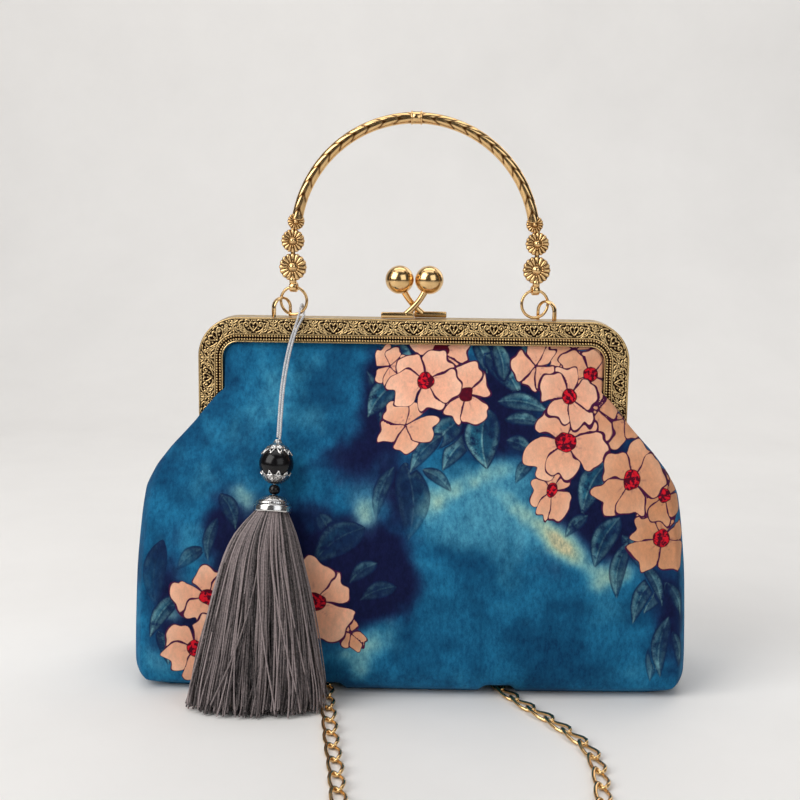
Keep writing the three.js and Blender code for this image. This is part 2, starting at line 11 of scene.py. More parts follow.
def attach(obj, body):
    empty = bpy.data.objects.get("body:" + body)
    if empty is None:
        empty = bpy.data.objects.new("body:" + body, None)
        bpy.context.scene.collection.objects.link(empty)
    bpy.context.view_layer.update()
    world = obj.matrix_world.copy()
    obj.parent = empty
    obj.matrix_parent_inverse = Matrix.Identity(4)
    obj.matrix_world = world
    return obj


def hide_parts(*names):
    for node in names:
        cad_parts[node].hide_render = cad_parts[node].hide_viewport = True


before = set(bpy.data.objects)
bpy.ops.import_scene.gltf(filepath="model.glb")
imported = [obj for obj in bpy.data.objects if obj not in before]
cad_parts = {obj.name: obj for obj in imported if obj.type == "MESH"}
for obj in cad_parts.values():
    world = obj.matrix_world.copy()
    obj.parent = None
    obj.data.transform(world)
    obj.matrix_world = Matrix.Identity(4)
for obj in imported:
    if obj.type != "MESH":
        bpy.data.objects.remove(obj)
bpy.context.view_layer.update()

MM = 0.001
WELD = 0.0002
TINY = 1e-9
TURN = 2 * math.pi
QUARTER_TURN = math.pi / 2
SIDES = {"left": -1, "right": 1}
HALVES = {"front": 1, "back": -1}
CURVE_STEPS = 24
# What a mesh's points carry, by the shape of one of them: kind of attribute and its key
CARRIED = {(): ("FLOAT", "value"), (3,): ("FLOAT_VECTOR", "vector"), (4,): ("FLOAT_COLOR", "color")}


# Nodes of materials and of geometry trees
def socket_named(sockets, key):
    """A socket by its number, or the one in use that has a name."""
    if isinstance(key, int):
        return sockets[key]
    return next(s for s in sockets if s.enabled and key in (s.name, s.identifier))


class Graph:
    """Adds nodes to a tree: first a node's settings, then the values or links of its sockets."""

    def __init__(self, tree):
        self.tree = tree

    def node(self, kind, settings=None, sockets=None, output=0):
        node = self.tree.nodes.new(kind)
        for key, value in (settings or {}).items():
            setattr(node, key, value)
        for key, value in (sockets or {}).items():
            self.feed(socket_named(node.inputs, key), value)
        return Wire(self, socket_named(node.outputs, output))

    def feed(self, socket, value):
        if isinstance(value, Wire):
            self.tree.links.new(value.socket, socket)
        else:
            socket.default_value = value


class Wire:
    """A node's output, with arithmetic."""

    def __init__(self, graph, socket):
        self.graph = graph
        self.socket = socket

    def math(self, operation, *operands, clamp=False):
        settings = {"operation": operation, "use_clamp": clamp}
        return self.graph.node("ShaderNodeMath", settings, dict(enumerate(operands)))

    def __add__(self, other):
        return self.math("ADD", self, other)

    def __sub__(self, other):
        return self.math("SUBTRACT", self, other)

    def __rsub__(self, other):
        return self.math("SUBTRACT", other, self)

    def __mul__(self, other):
        return self.math("MULTIPLY", self, other)

    __radd__ = __add__
    __rmul__ = __mul__

    def clamped(self):
        return self.math("ADD", self, 0.0, clamp=True)

    def shown(self, name):
        """Rises smoothly from 0 to 1 where the named thing starts to show and where it shows in full."""
        low, high = SHOWS[name]
        settings = {"interpolation_type": "SMOOTHSTEP"}
        sockets = {"Value": self, "From Min": low, "From Max": high}
        return self.graph.node("ShaderNodeMapRange", settings, sockets)


class Finish(Graph):
    """A material with one principled shader."""

    def __init__(self, name, **constants):
        self.material = bpy.data.materials.new(name)
        self.material.use_nodes = True
        super().__init__(self.material.node_tree)
        self.shader = self.tree.nodes["Principled BSDF"]
        self.paint(**constants)

    def paint(self, **sockets):
        for key, value in sockets.items():
            self.feed(self.shader.inputs[key.replace("_", " ")], value)

    def grain(self, name, stretch=(1, 1, 1)):
        """One of the noises, from 0 to 1."""
        scale, detail, roughness = NOISE[name]
        place = self.node("ShaderNodeTexCoord", output="Object")
        mapped = self.node("ShaderNodeMapping", None, {"Vector": place, "Scale": stretch})
        sockets = {"Vector": mapped, "Scale": scale, "Detail": detail, "Roughness": roughness}
        return self.node("ShaderNodeTexNoise", None, sockets, "Fac")

    def carried(self, name, output="Fac"):
        """A value that the mesh carries at its points."""
        return self.node("ShaderNodeAttribute", {"attribute_name": name}, None, output)

    def largest(self, name, count):
        """The largest of some numbered attributes."""
        most = self.carried(f"{name}_0")
        for k in range(1, count):
            most = most.math("MAXIMUM", most, self.carried(f"{name}_{k}"))
        return most

    def mix(self, factor, first, second, blend="MIX"):
        settings = {"data_type": "RGBA", "blend_type": blend}
        sockets = {"Factor": factor, "A": first, "B": second}
        return self.node("ShaderNodeMix", settings, sockets, "Result")

    def bump(self, height, name):
        distance, strength = BUMP[name]
        sockets = {"Height": height, "Distance": distance * MM, "Strength": strength}
        return self.node("ShaderNodeBump", None, sockets)


# Meshes
def grid_faces(rows, columns, wrap_rows=False, wrap_columns=False):
    r = np.arange(rows if wrap_rows else rows - 1)[:, None]
    c = np.arange(columns if wrap_columns else columns - 1)[None, :]
    r2 = (r + 1) % rows
    c2 = (c + 1) % columns
    corners = (r * columns + c, r * columns + c2, r2 * columns + c2, r2 * columns + c)
    return np.stack(np.broadcast_arrays(*corners), -1).reshape(-1, 4).tolist()


def row_face(row, columns):
    """One face across a whole row of a grid."""
    return list(range(row * columns, (row + 1) * columns))


def linked(name, data):
    """A new object in the scene."""
    thing = bpy.data.objects.new(name, data)
    bpy.context.scene.collection.objects.link(thing)
    return thing


def smoothed(mesh):
    mesh.polygons.foreach_set("use_smooth", [True] * len(mesh.polygons))
    return mesh


def carry(mesh, name, values):
    """Gives every point of a mesh its value, vector or colour."""
    values = np.asarray(values, float)
    kind, key = CARRIED[values.shape[1:]]
    mesh.attributes.new(name, kind, "POINT").data.foreach_set(key, values.ravel())


class Shape:
    """Points in millimetres and faces, gathered for one piece."""

    def __init__(self):
        self.points = []
        self.faces = []
        self.values = {}
        self.count = 0

    def add(self, points, faces, **values):
        points = np.asarray(points, float).reshape(-1, 3)
        self.points.append(points)
        self.faces.extend([[corner + self.count for corner in face] for face in faces])
        for name, value in values.items():
            self.values.setdefault(name, []).append((self.count, np.asarray(value, float).reshape(-1)))
        self.count += len(points)
        return self

    def moved(self, matrix):
        self.points = [p @ np.array(matrix.to_3x3()).T + np.array(matrix.translation) for p in self.points]
        return self

    def join(self, other):
        for name, parts in other.values.items():
            for start, value in parts:
                self.values.setdefault(name, []).append((start + self.count, value))
        self.faces.extend([[corner + self.count for corner in face] for face in other.faces])
        self.points.extend(other.points)
        self.count += other.count
        return self

    def valued(self, **values):
        """Gives every point its value of each attribute."""
        for name, value in values.items():
            self.values[name] = [(0, np.asarray(value, float).reshape(-1))]
        return self

    def mesh(self, name, weld=True):
        mesh = bpy.data.meshes.new(name)
        mesh.from_pydata((np.concatenate(self.points) * MM).tolist(), [], self.faces)
        for key, parts in self.values.items():
            whole = np.zeros(self.count)
            for start, value in parts:
                whole[start:start + len(value)] = value
            carry(mesh, key, whole)
        if weld:
            tidy = bmesh.new()
            tidy.from_mesh(mesh)
            bmesh.ops.remove_doubles(tidy, verts=tidy.verts, dist=WELD * MM)
            bmesh.ops.recalc_face_normals(tidy, faces=tidy.faces)
            tidy.to_mesh(mesh)
            tidy.free()
        return smoothed(mesh)


def mesh_points(mesh):
    """A mesh's points in metres, a row for each."""
    places = np.zeros(len(mesh.vertices) * 3)
    mesh.vertices.foreach_get("co", places)
    return places.reshape(-1, 3)


def set_piece(mesh, finish, body, slot, *replaced):
    """Makes a finished mesh a piece that rides on a body, and stands for the nodes that it replaces."""
    piece = linked(mesh.name, mesh)
    if finish is not None:
        mesh.materials.clear()
        mesh.materials.append(finish.material)
    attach(piece, body)
    if replaced:
        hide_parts(*replaced)
    return piece


def smooth_table(places, table_places, table_values):
    """A smooth curve through a short table, without overshoot."""
    t = np.asarray(table_places, float)
    v = np.asarray(table_values, float)
    steps = np.diff(t)
    rises = np.diff(v) / steps
    slopes = np.zeros(len(t))
    slopes[0] = rises[0]
    slopes[-1] = rises[-1]
    same = rises[:-1] * rises[1:] > 0
    mean = 2 * rises[:-1] * rises[1:] / np.where(same, rises[:-1] + rises[1:], 1)
    slopes[1:-1] = np.where(same, mean, 0)
    p = np.clip(np.asarray(places, float), t[0], t[-1])
    i = np.clip(np.searchsorted(t, p, "right") - 1, 0, len(steps) - 1)
    s = (p - t[i]) / steps[i]
    return (
        v[i] * (1 + 2 * s) * (1 - s) ** 2 + slopes[i] * steps[i] * s * (1 - s) ** 2
        + v[i + 1] * s ** 2 * (3 - 2 * s) + slopes[i + 1] * steps[i] * s ** 2 * (s - 1)
    )


def length_of(path):
    return np.linalg.norm(np.diff(path, axis=0), axis=1).sum()


def evenly(points, count):
    """Evenly spaced places along a line of points."""
    points = np.asarray(points, float)
    run = np.concatenate([[0], np.cumsum(np.linalg.norm(np.diff(points, axis=0), axis=1))])
    even = np.linspace(0, run[-1], count)
    return np.stack([np.interp(even, run, values) for values in points.T], 1)


def curve_through(points, count):
    """Evenly spaced places on a smooth centripetal curve through points."""
    p = np.asarray(points, float)
    p = np.vstack([2 * p[0] - p[1], p, 2 * p[-1] - p[-2]])
    knots = np.concatenate([[0], np.cumsum(np.sqrt(np.linalg.norm(np.diff(p, axis=0), axis=1)))])
    dense = []
    for i in range(1, len(p) - 2):
        t0, t1, t2, t3 = knots[i - 1:i + 3]
        t = np.linspace(t1, t2, CURVE_STEPS, endpoint=False)[:, None]
        a1 = (t1 - t) / (t1 - t0) * p[i - 1] + (t - t0) / (t1 - t0) * p[i]
        a2 = (t2 - t) / (t2 - t1) * p[i] + (t - t1) / (t2 - t1) * p[i + 1]
        a3 = (t3 - t) / (t3 - t2) * p[i + 1] + (t - t2) / (t3 - t2) * p[i + 2]
        b1 = (t2 - t) / (t2 - t0) * a1 + (t - t0) / (t2 - t0) * a2
        b2 = (t3 - t) / (t3 - t1) * a2 + (t - t1) / (t3 - t1) * a3
        dense.append((t2 - t) / (t2 - t1) * b1 + (t - t1) / (t2 - t1) * b2)
    return evenly(np.vstack([*dense, p[-2:-1]]), count)


def unit(vectors):
    return vectors / np.linalg.norm(vectors, axis=-1, keepdims=True)


def frames_along(path, first_side):
    """Tangent, side and cross direction at each place, turning as little as the path allows."""
    tangents = unit(np.gradient(path, axis=0))
    sides = np.zeros_like(path)
    side = np.asarray(first_side, float)
    for i, tangent in enumerate(tangents):
        side = unit(side - tangent * (side @ tangent))
        sides[i] = side
    return tangents, sides, np.cross(tangents, sides)


def swept(path, section, first_side=(0, 1, 0)):
    """A section of side and cross distances, carried along a path. One section, or one for each place."""
    path = np.asarray(path, float)
    section = np.broadcast_to(section, (len(path), *np.shape(section)[-2:]))
    _, sides, crosses = frames_along(path, first_side)
    rings = path[:, None] + sides[:, None] * section[..., :1] + crosses[:, None] * section[..., 1:]
    columns = rings.shape[1]
    faces = grid_faces(len(path), columns, wrap_columns=True)
    faces += [row_face(0, columns)[::-1], row_face(len(path) - 1, columns)]
    return Shape().add(rings, faces)


def angles_round(sides):
    return np.arange(sides) / sides * TURN


def circle(sides, radius=1.0):
    angles = angles_round(sides)
    return np.stack([radius * np.cos(angles), radius * np.sin(angles)], 1)


def spun(radius, height, **values):
    """A radius for each height and angle, turned about Z."""
    rows, sides = radius.shape
    angles = angles_round(sides)
    heights = np.repeat(height[:, None], sides, 1)
    points = np.stack([radius * np.cos(angles), radius * np.sin(angles), heights], -1)
    return Shape().add(points, grid_faces(rows, sides, wrap_columns=True), **values)


def turned(profile, sides):
    """A plain round piece from a profile of radius and height."""
    profile = np.asarray(profile, float)
    return spun(np.repeat(profile[:, :1], sides, 1), profile[:, 1])


def placed(x, y, z, turn_z=0.0):
    return Matrix.Translation((x, y, z)) @ Matrix.Rotation(math.radians(turn_z), 4, "Z")


def faced(facing):
    """As modelled for the front half, and turned about Z for the back half."""
    return Matrix.Diagonal((facing, facing, 1, 1))


ACROSS = Matrix.Rotation(QUARTER_TURN, 4, "Y")


def step(value, low, high):
    """Rises smoothly from 0 at low to 1 at high."""
    t = np.clip((value - low) / (high - low), 0, 1)
    return t * t * (3 - 2 * t)


def bell(distance, width):
    return np.exp(-(distance / width) ** 2)


def at_least(least, share):
    """A share from 0 to 1, raised so that it starts at a least value."""
    return least + (1 - least) * share


# Display colours from 0 to 255: inks of the print, metals, threads and the studio
TONE = {
    "deep": (8, 68, 106), "mid": (24, 104, 146), "light": (80, 158, 186), "navy": (11, 15, 54),
    "glow": (196, 212, 168), "ember": (216, 176, 126), "leaf": (42, 112, 138), "leaf_dark": (10, 34, 72),
    # The darker tan petal colour is painted shade, for flowers that lie in dimmer light
    "vein": (140, 198, 202), "petal": (242, 181, 152), "petal_shaded": (192, 134, 94),
    "petal_pale": (253, 208, 180), "outline": (70, 22, 60), "heart": (80, 8, 32), "red": (216, 22, 42),
    "frame_pit": (33, 21, 14), "frame_worn": (190, 157, 106), "frame_bright": (234, 204, 150),
    "gold_pit": (92, 56, 24), "gold": (216, 173, 114), "gold_bright": (238, 202, 148),
    "silver_pit": (58, 56, 56), "silver": (216, 214, 212), "bead": (6, 6, 8), "bead_cloud": (22, 20, 22),
    "thread_dark": (18, 13, 15), "thread_pale": (156, 142, 142),
    "cord_dark": (128, 128, 132), "cord_pale": (226, 226, 228),
    "floor": (231, 229, 227), "floor_pale": (243, 241, 239), "haze": (232, 231, 230),
}
# Noises of the finishes: features in a metre, detail and roughness
NOISE = {
    "leaf_blotch": (260.0, 4.0, 0.65), "heart_grains": (560.0, 2.0, 0.5), "speckle": (460.0, 5.0, 0.8),
    "drift": (60.0, 4.0, 0.6), "nap": (1700.0, 3.0, 0.65), "weave": (420.0, 2.0, 0.5),
    "frame_tarnish": (420.0, 5.0, 0.65), "frame_wear": (90.0, 3.0, 0.55), "handling": (130.0, 4.0, 0.55),
    "polish": (1500.0, 3.0, 0.55), "silver_tarnish": (700.0, 4.0, 0.55), "bead_cloud": (160.0, 4.0, 0.55),
    "twist": (1200.0, 2.0, 0.5), "floor_cloud": (9.0, 5.0, 0.6),
}
NOISE_MIDDLE = 0.5
# Where a distance in millimetres, a height or a noise starts to show, and where it shows in full
SHOWS = {
    "leaf": (-0.3, 0.6), "leaf_flesh": (0.2, 2.4), "leaf_half": (-0.5, 0.5), "leaf_blotch": (0.3, 0.62),
    "leaf_shine": (0.3, 1.5), "leaf_dull": (1.6, 4.0), "off_midrib": (0.15, 0.6), "flower": (-0.2, 0.15),
    "petal": (0.0, 0.4), "heart": (-0.15, 0.25), "heart_red": (0.25, 0.6), "heart_grains": (0.45, 0.58),
    "frame_bare": (0.1, 0.62), "gold_bare": (-0.8, 0.0), "silver_bare": (0.05, 0.7),
}
# Bumps: height in millimetres, and strength
BUMP = {
    "cloth": (0.22, 0.55), "frame": (0.06, 0.5), "gold": (0.01, 0.35), "silver": (0.03, 0.5),
    "thread": (0.12, 0.7),
}
# How much each finish follows its ink, its wear and its grain
LEAF_INK = {"dark_half": 0.4, "shine": 0.5, "midrib": 0.4}
NAP = {
    "dark": (0.56, 0.62, 0.7, 1), "pale": (1.6, 1.36, 1.26, 1), "stretch": (1, 1, 0.55),
    "speckle_from": 0.36, "speckle": 3.4, "drift_from": 0.3, "drift": 0.3, "flower": 0.7, "fine": 0.6,
}
FRAME_WEAR = {"height": 1.1, "tarnish": 0.4, "rough": 0.46, "polish": 0.24, "grit": 0.08}
GOLD_WEAR = {"rough": 0.13, "handling": 0.1, "pit": 0.2}
SILVER_WEAR = {"tarnish": 0.4, "rough": 0.42, "polish": 0.22}
BEAD_WEAR = {"rough": 0.14, "cloud": 0.1}
# Thread: share of the carried shade, and of a twist noise that is partly the thread's twist and partly
# painted glint
TWIST_AND_GLINT = {"shade": 0.95, "from": 0.46, "twist": 1.1, "rough": 0.58, "grit": 0.14}
# Classes of petals and of leaves: neighbours are in different ones, so that none blurs another's edge
PETAL_CLASSES = 7
LEAF_CLASSES = 5


def linear(display):
    """Display colours from 0 to 255 as the shader's linear colours."""
    c = np.asarray(display) / 255
    return np.where(c <= 0.04045, c / 12.92, ((c + 0.055) / 1.055) ** 2.4)


def color(name):
    return (*linear(TONE[name]).tolist(), 1.0)


# Finishes
def leaf_print(finish, leaf):
    """Leaves with a lighter half, a shine along their edge and a midrib."""
    rib = finish.carried("leaf_rib")
    light = finish.carried("leaf_light") * finish.grain("leaf_blotch").shown("leaf_blotch")
    half = rib.shown("leaf_half") * (1 - LEAF_INK["dark_half"]) + LEAF_INK["dark_half"]
    blade = finish.mix(light * half * leaf.shown("leaf_flesh"), color("leaf_dark"), color("leaf"))
    shine = leaf.shown("leaf_shine") * (1 - leaf.shown("leaf_dull")) * half
    midrib = 1 - rib.math("ABSOLUTE", rib).shown("off_midrib")
    bright = (shine * LEAF_INK["shine"] + midrib * LEAF_INK["midrib"]) * light
    return finish.mix(bright, blade, color("vein"))


def flower_print(finish, ground, flower):
    """Petals inside dark outlines, and hearts with red grains, over the ground."""
    fill = (finish.largest("petal", PETAL_CLASSES) - finish.carried("petal_line")).shown("petal")
    petals = finish.mix(flower, ground, color("outline"))
    petals = finish.mix(flower * fill, petals, finish.carried("petal_tone", "Color"))
    heart = finish.carried("heart")
    hearts = finish.mix(heart.shown("heart"), petals, color("heart"))
    grains = finish.grain("heart_grains").shown("heart_grains")
    return finish.mix(grains * heart.shown("heart_red") * finish.carried("heart_red"), hearts, color("red"))


def cloth_finish():
    """Cloth with a soft painted ground, and sharp leaves and flowers from distances carried by the mesh."""
    finish = Finish(
        "printed_cloth", Roughness=0.9, Specular_IOR_Level=0.12, Sheen_Weight=0.03, Sheen_Roughness=0.5,
    )
    leaf = finish.largest("leaf", LEAF_CLASSES)
    leaf_cover = leaf.shown("leaf") * finish.carried("leaf_cover")
    ground = finish.mix(leaf_cover, finish.carried("print", "Color"), leaf_print(finish, leaf))
    flower = finish.carried("flower").shown("flower")
    design = flower_print(finish, ground, flower)
    speckle = (finish.grain("speckle", NAP["stretch"]) - NAP["speckle_from"]) * NAP["speckle"]
    dark = finish.mix(1.0, design, NAP["dark"], "MULTIPLY")
    pale = finish.mix(1.0, design, NAP["pale"], "MULTIPLY")
    plain = (finish.grain("drift") - NAP["drift_from"]) * NAP["drift"] + flower * NAP["flower"]
    finish.paint(Base_Color=finish.mix(plain, finish.mix(speckle, dark, pale), design))
    nap = finish.grain("nap") * NAP["fine"] + finish.grain("weave") * (1 - NAP["fine"])
    finish.paint(Normal=finish.bump(nap, "cloth"))
    return finish


def antique_finish():
    """Antiqued gold: dark in the hollows of the relief, worn bright on its crests."""
    finish = Finish("antique_gold", Metallic=1.0)
    tarnish = finish.grain("frame_tarnish")
    height = finish.carried("relief") * FRAME_WEAR["height"]
    bare = (height + (tarnish - NOISE_MIDDLE) * FRAME_WEAR["tarnish"]).shown("frame_bare")
    worn = finish.mix(finish.grain("frame_wear"), color("frame_worn"), color("frame_bright"))
    finish.paint(Base_Color=finish.mix(bare, color("frame_pit"), worn))
    polished = FRAME_WEAR["rough"] - bare * FRAME_WEAR["polish"]
    finish.paint(Roughness=polished + tarnish * FRAME_WEAR["grit"])
    finish.paint(Normal=finish.bump(tarnish, "frame"))
    return finish


def gold_finish():
    """Light gold plate, dull from handling and dark in its hollows."""
    finish = Finish("light_gold", Metallic=1.0)
    handling = finish.grain("handling")
    bare = finish.carried("relief").shown("gold_bare")
    warm = finish.mix(handling, color("gold"), color("gold_bright"))
    finish.paint(Base_Color=finish.mix(bare, color("gold_pit"), warm))
    handled = GOLD_WEAR["rough"] + handling * GOLD_WEAR["handling"]
    finish.paint(Roughness=handled + (1 - bare) * GOLD_WEAR["pit"])
    finish.paint(Normal=finish.bump(finish.grain("polish"), "gold"))
    return finish


def silver_finish():
    """Antiqued silver of the caps."""
    finish = Finish("antique_silver", Metallic=1.0)
    tarnish = finish.grain("silver_tarnish")
    height = finish.carried("relief")
    bare = (height + (tarnish - NOISE_MIDDLE) * SILVER_WEAR["tarnish"]).shown("silver_bare")
    finish.paint(Base_Color=finish.mix(bare, color("silver_pit"), color("silver")))
    finish.paint(Roughness=SILVER_WEAR["rough"] - bare * SILVER_WEAR["polish"])
    finish.paint(Normal=finish.bump(tarnish, "silver"))
    return finish


def bead_finish():
    """Glossy black with a faint cloud."""
    finish = Finish("black_bead", Specular_IOR_Level=0.3)
    cloud = finish.grain("bead_cloud")
    finish.paint(Base_Color=finish.mix(cloud, color("bead"), color("bead_cloud")))
    finish.paint(Roughness=BEAD_WEAR["rough"] + cloud * BEAD_WEAR["cloud"])
    return finish


def thread_finish(name, dark, pale, sheen):
    """Twisted thread, from dark to pale by the shade that each strand carries, and by a twist noise that is
    partly painted highlight.
    """
    finish = Finish(name, Sheen_Weight=sheen, Sheen_Roughness=0.4)
    twist = finish.grain("twist")
    # The twist noise in the colour is partly the thread's own twist and partly painted highlight: glints
    # along the strands
    shade = finish.carried("shade") * TWIST_AND_GLINT["shade"] + (twist - TWIST_AND_GLINT["from"]) * TWIST_AND_GLINT["twist"]
    finish.paint(Base_Color=finish.mix(shade.clamped(), dark, pale))
    finish.paint(Roughness=TWIST_AND_GLINT["rough"] + twist * TWIST_AND_GLINT["grit"])
    finish.paint(Normal=finish.bump(twist, "thread"))
    return finish


CLOTH = cloth_finish()
ANTIQUE = antique_finish()
GOLD = gold_finish()
SILVER = silver_finish()
BEAD = bead_finish()
THREAD = thread_finish("tassel_thread", color("thread_dark"), color("thread_pale"), sheen=0.05)
CORDING = thread_finish("grey_cord", color("cord_dark"), color("cord_pale"), sheen=0.06)


# Pouch: height, crown, flank, half width and how far the end is tucked behind the frame's leg
POUCH_ROWS = np.array([
    (0, 30, 28, 119.5, 0), (5, 38.5, 35, 130.5, 0), (12, 41, 36, 132, 0), (52, 42.2, 33.6, 131, 0),
    (78, 38.9, 29.5, 129, 0), (92, 35.4, 25, 127.3, 0), (102, 32.5, 22, 124.5, 0.1),
    (112, 28.5, 18.5, 118.4, 0.35), (125.3, 22.3, 14, 106.6, 1), (137, 16.8, 10.9, 95.4, 1),
    (143, 13.8, 9.4, 86.8, 1), (152, 9.4, 8, 86.8, 1), (158.5, 6.6, 6.4, 85, 1), (161.3, 4.7, 4.7, 84, 1),
    (168.5, 4.7, 4.7, 84, 1),
])
# Arches of the frame: its outer edge, its inner edge, and the floor of the channel that holds the cloth
FRAME = {"half": 102.5, "top": 174.0, "leg_end": 126.0, "corner": 19.0, "depth": 6.5}
MOUTH = {"half": 90.5, "top": 162.0, "corner": 8.0}
CHANNEL = {"half": 98.7, "top": 170.2, "corner": 15.2, "depth": 4.7, "entry": 161.3}
# The panel's end from the flank round to the side: distance past the half width, and share of the flank
SIDE_CURVE = ((-1.6, 0.8), (-0.2, 0.5), (0.5, 0.26), (0.9, 0.08))
# The cloth's wall, the panel's roundness, where its end starts, and how it clears the band
CLOTH_WALL = 1.4
CROWN_POWER = 2.4
END_RUN = 6.0
EDGE_GAP = 0.6
OVER_BAND = 7.3
LIP = 1.2
# Where the chain passes under the base
TUNNELS = (-38.5, 42.0)
TUNNEL = {"height": 3.7, "roof": 5.0, "floor": 9.5, "top": 7.0}
ROUNDED_BASE = 12.0
ROUNDED_ROWS = 17
PANEL_ROWS = 229
PANEL_COLUMNS = 277
END_COLUMNS = 24
BASE_ROWS = 8
WALL_STRIDE = 6
# The cloth is loose, and folds, away from the band and from the base
LOOSE = {"depth": 8.0, "depth_run": 12.0, "height": 14.0}
# Gathers just under the band
GATHER = {"z": 157.0, "reach": 9.0, "rise": 0.35, "pitch": 5.3, "sway": 1.3, "sway_pitch": 19.0}
FOLD_FALL = 2.0

# Soft dents and swells of the panel: middle, length, width, lean in degrees and height
FOLDS = (
    (-78, 128, 46, 9, 58, -1.5), (-92, 104, 40, 12, 70, 1.1), (-58, 146, 30, 8, 78, -0.8),
    (82, 128, 44, 9, -58, -1.4), (97, 101, 42, 12, -68, 1.0), (60, 147, 28, 8, -76, -0.8),
    (-30, 150, 26, 9, 84, 0.7), (8, 152, 24, 8, 92, -0.6), (36, 150, 26, 9, 96, 0.7),
    (-100, 40, 52, 16, 78, -1.2), (104, 38, 56, 16, 100, -1.2), (-20, 36, 90, 22, 6, -1.0),
    (46, 58, 80, 24, -14, 0.9), (20, 16, 120, 10, 2, 0.8),
)


def within(arch, z):
    rise = np.clip(z - (arch["top"] - arch["corner"]), 0, arch["corner"])
    return arch["half"] - arch["corner"] + np.sqrt(arch["corner"] ** 2 - rise ** 2)


def pouch_ends(z, flank, half, tuck):
    """Control points of a panel's end at each height, from the middle of the side to the panel."""
    free = flank > CHANNEL["depth"] + TINY
    lip = np.where(free, LIP, 0)
    edge = within(MOUTH, np.minimum(z, CHANNEL["entry"])) - EDGE_GAP
    tip = np.maximum(SIDE_CURVE[0][1] * flank, CHANNEL["depth"] + lip)
    deep = np.full_like(z, CHANNEL["depth"])
    tucked = (
        (half, tip),
        (edge - np.where(free, 0, EDGE_GAP), np.minimum(OVER_BAND, tip - lip / 4)),
        (edge, deep),
        (within(CHANNEL, z), deep),
    )
    points = [
        np.stack([(half + out) * (1 - tuck) + x * tuck, share * flank * (1 - tuck) + depth * tuck], -1)
        for (out, share), (x, depth) in zip(SIDE_CURVE, tucked)
    ]
    middle = points[-1] * np.array([1, 0])
    return [middle, *points[::-1]]


def bent_through(controls, columns):
    """A quadratic curve that starts and ends on its outer controls and rounds the ones between."""
    inner = controls[1:-1]
    starts = [controls[0]] + [(a + b) / 2 for a, b in zip(inner, inner[1:])]
    ends = starts[1:] + [controls[-1]]
    each = columns // len(inner)
    t = np.arange(each)[:, None, None] / each
    runs = [(1 - t) ** 2 * a + 2 * t * (1 - t) * b + t ** 2 * c for a, b, c in zip(starts, inner, ends)]
    return np.concatenate(runs).transpose(1, 0, 2)


def leaning(x, z, lean):
    """Distances along and across a line that leans by an angle in degrees."""
    c, s = math.cos(math.radians(lean)), math.sin(math.radians(lean))
    return x * c + z * s, z * c - x * s


def fold_height(x, z):
    height = np.zeros_like(x)
    for middle_x, middle_z, long, wide, lean, rise in FOLDS:
        along, across = leaning(x - middle_x, z - middle_z, lean)
        height += rise * np.exp(-FOLD_FALL * ((along / long) ** 2 + (across / wide) ** 2))
    waves = np.sin(x / GATHER["pitch"] + GATHER["sway"] * np.sin(x / GATHER["sway_pitch"]))
    return height + GATHER["rise"] * bell(z - GATHER["z"], GATHER["reach"]) * waves


def tunnel_height(x):
    near = np.minimum(np.abs(x - TUNNELS[0]), np.abs(x - TUNNELS[1]))
    return TUNNEL["height"] * step(-near, -TUNNEL["floor"], -TUNNEL["roof"])


def pouch_half():
    """Places on the front half of the pouch, and where each lies on the flat print."""
    low_rows = np.linspace(0, ROUNDED_BASE, ROUNDED_ROWS)[:-1]
    z = np.concatenate([low_rows, np.linspace(ROUNDED_BASE, POUCH_ROWS[-1, 0], PANEL_ROWS)])
    crown, flank, half, tuck = (smooth_table(z, POUCH_ROWS[:, 0], column) for column in POUCH_ROWS[:, 1:].T)
    along = np.linspace(-1, 1, PANEL_COLUMNS)
    reach = (half - END_RUN)[:, None]
    swell = 1 - np.abs(along) ** CROWN_POWER
    panel = np.stack([along * reach, flank[:, None] + (crown - flank)[:, None] * swell], -1)
    controls = pouch_ends(z, flank, half, tuck) + [np.stack([reach[:, 0], flank], -1)]
    end = bent_through(controls, END_COLUMNS)
    outline = np.concatenate([end * (-1, 1), panel, end[:, ::-1]], 1)
    x = outline[..., 0]
    steps = np.linalg.norm(np.diff(outline, axis=1), axis=-1)
    run = np.concatenate([np.zeros((len(z), 1)), np.cumsum(steps, 1)], 1)
    run -= run[:, [outline.shape[1] // 2]]
    heights = np.repeat(z[:, None], outline.shape[1], 1)
    off_band = np.clip((outline[..., 1] - LOOSE["depth"]) / LOOSE["depth_run"], 0, 1)
    off_base = np.clip(heights / LOOSE["height"], 0, 1)
    depth = outline[..., 1] + fold_height(x, heights) * (off_band * off_base)
    lift = tunnel_height(x)
    low = heights < TUNNEL["top"]
    raised = np.where(low, lift + heights * (1 - lift / TUNNEL["top"]), heights)
    skin = np.stack([x, -depth, raised], -1)
    share = np.linspace(0, 1, BASE_ROWS, endpoint=False)[:, None, None]
    base = skin[:1] * (share * (1, 1, 0) + (1 - share) * (1, 0, 0)) + skin[:1] * (0, 0, 1)
    base_print = np.stack([run[0] + 0 * share[..., 0], -(1 - share[..., 0]) * depth[0]], -1)
    print_place = np.stack([run, heights], -1)
    return np.concatenate([base, skin]), np.concatenate([base_print, print_place])


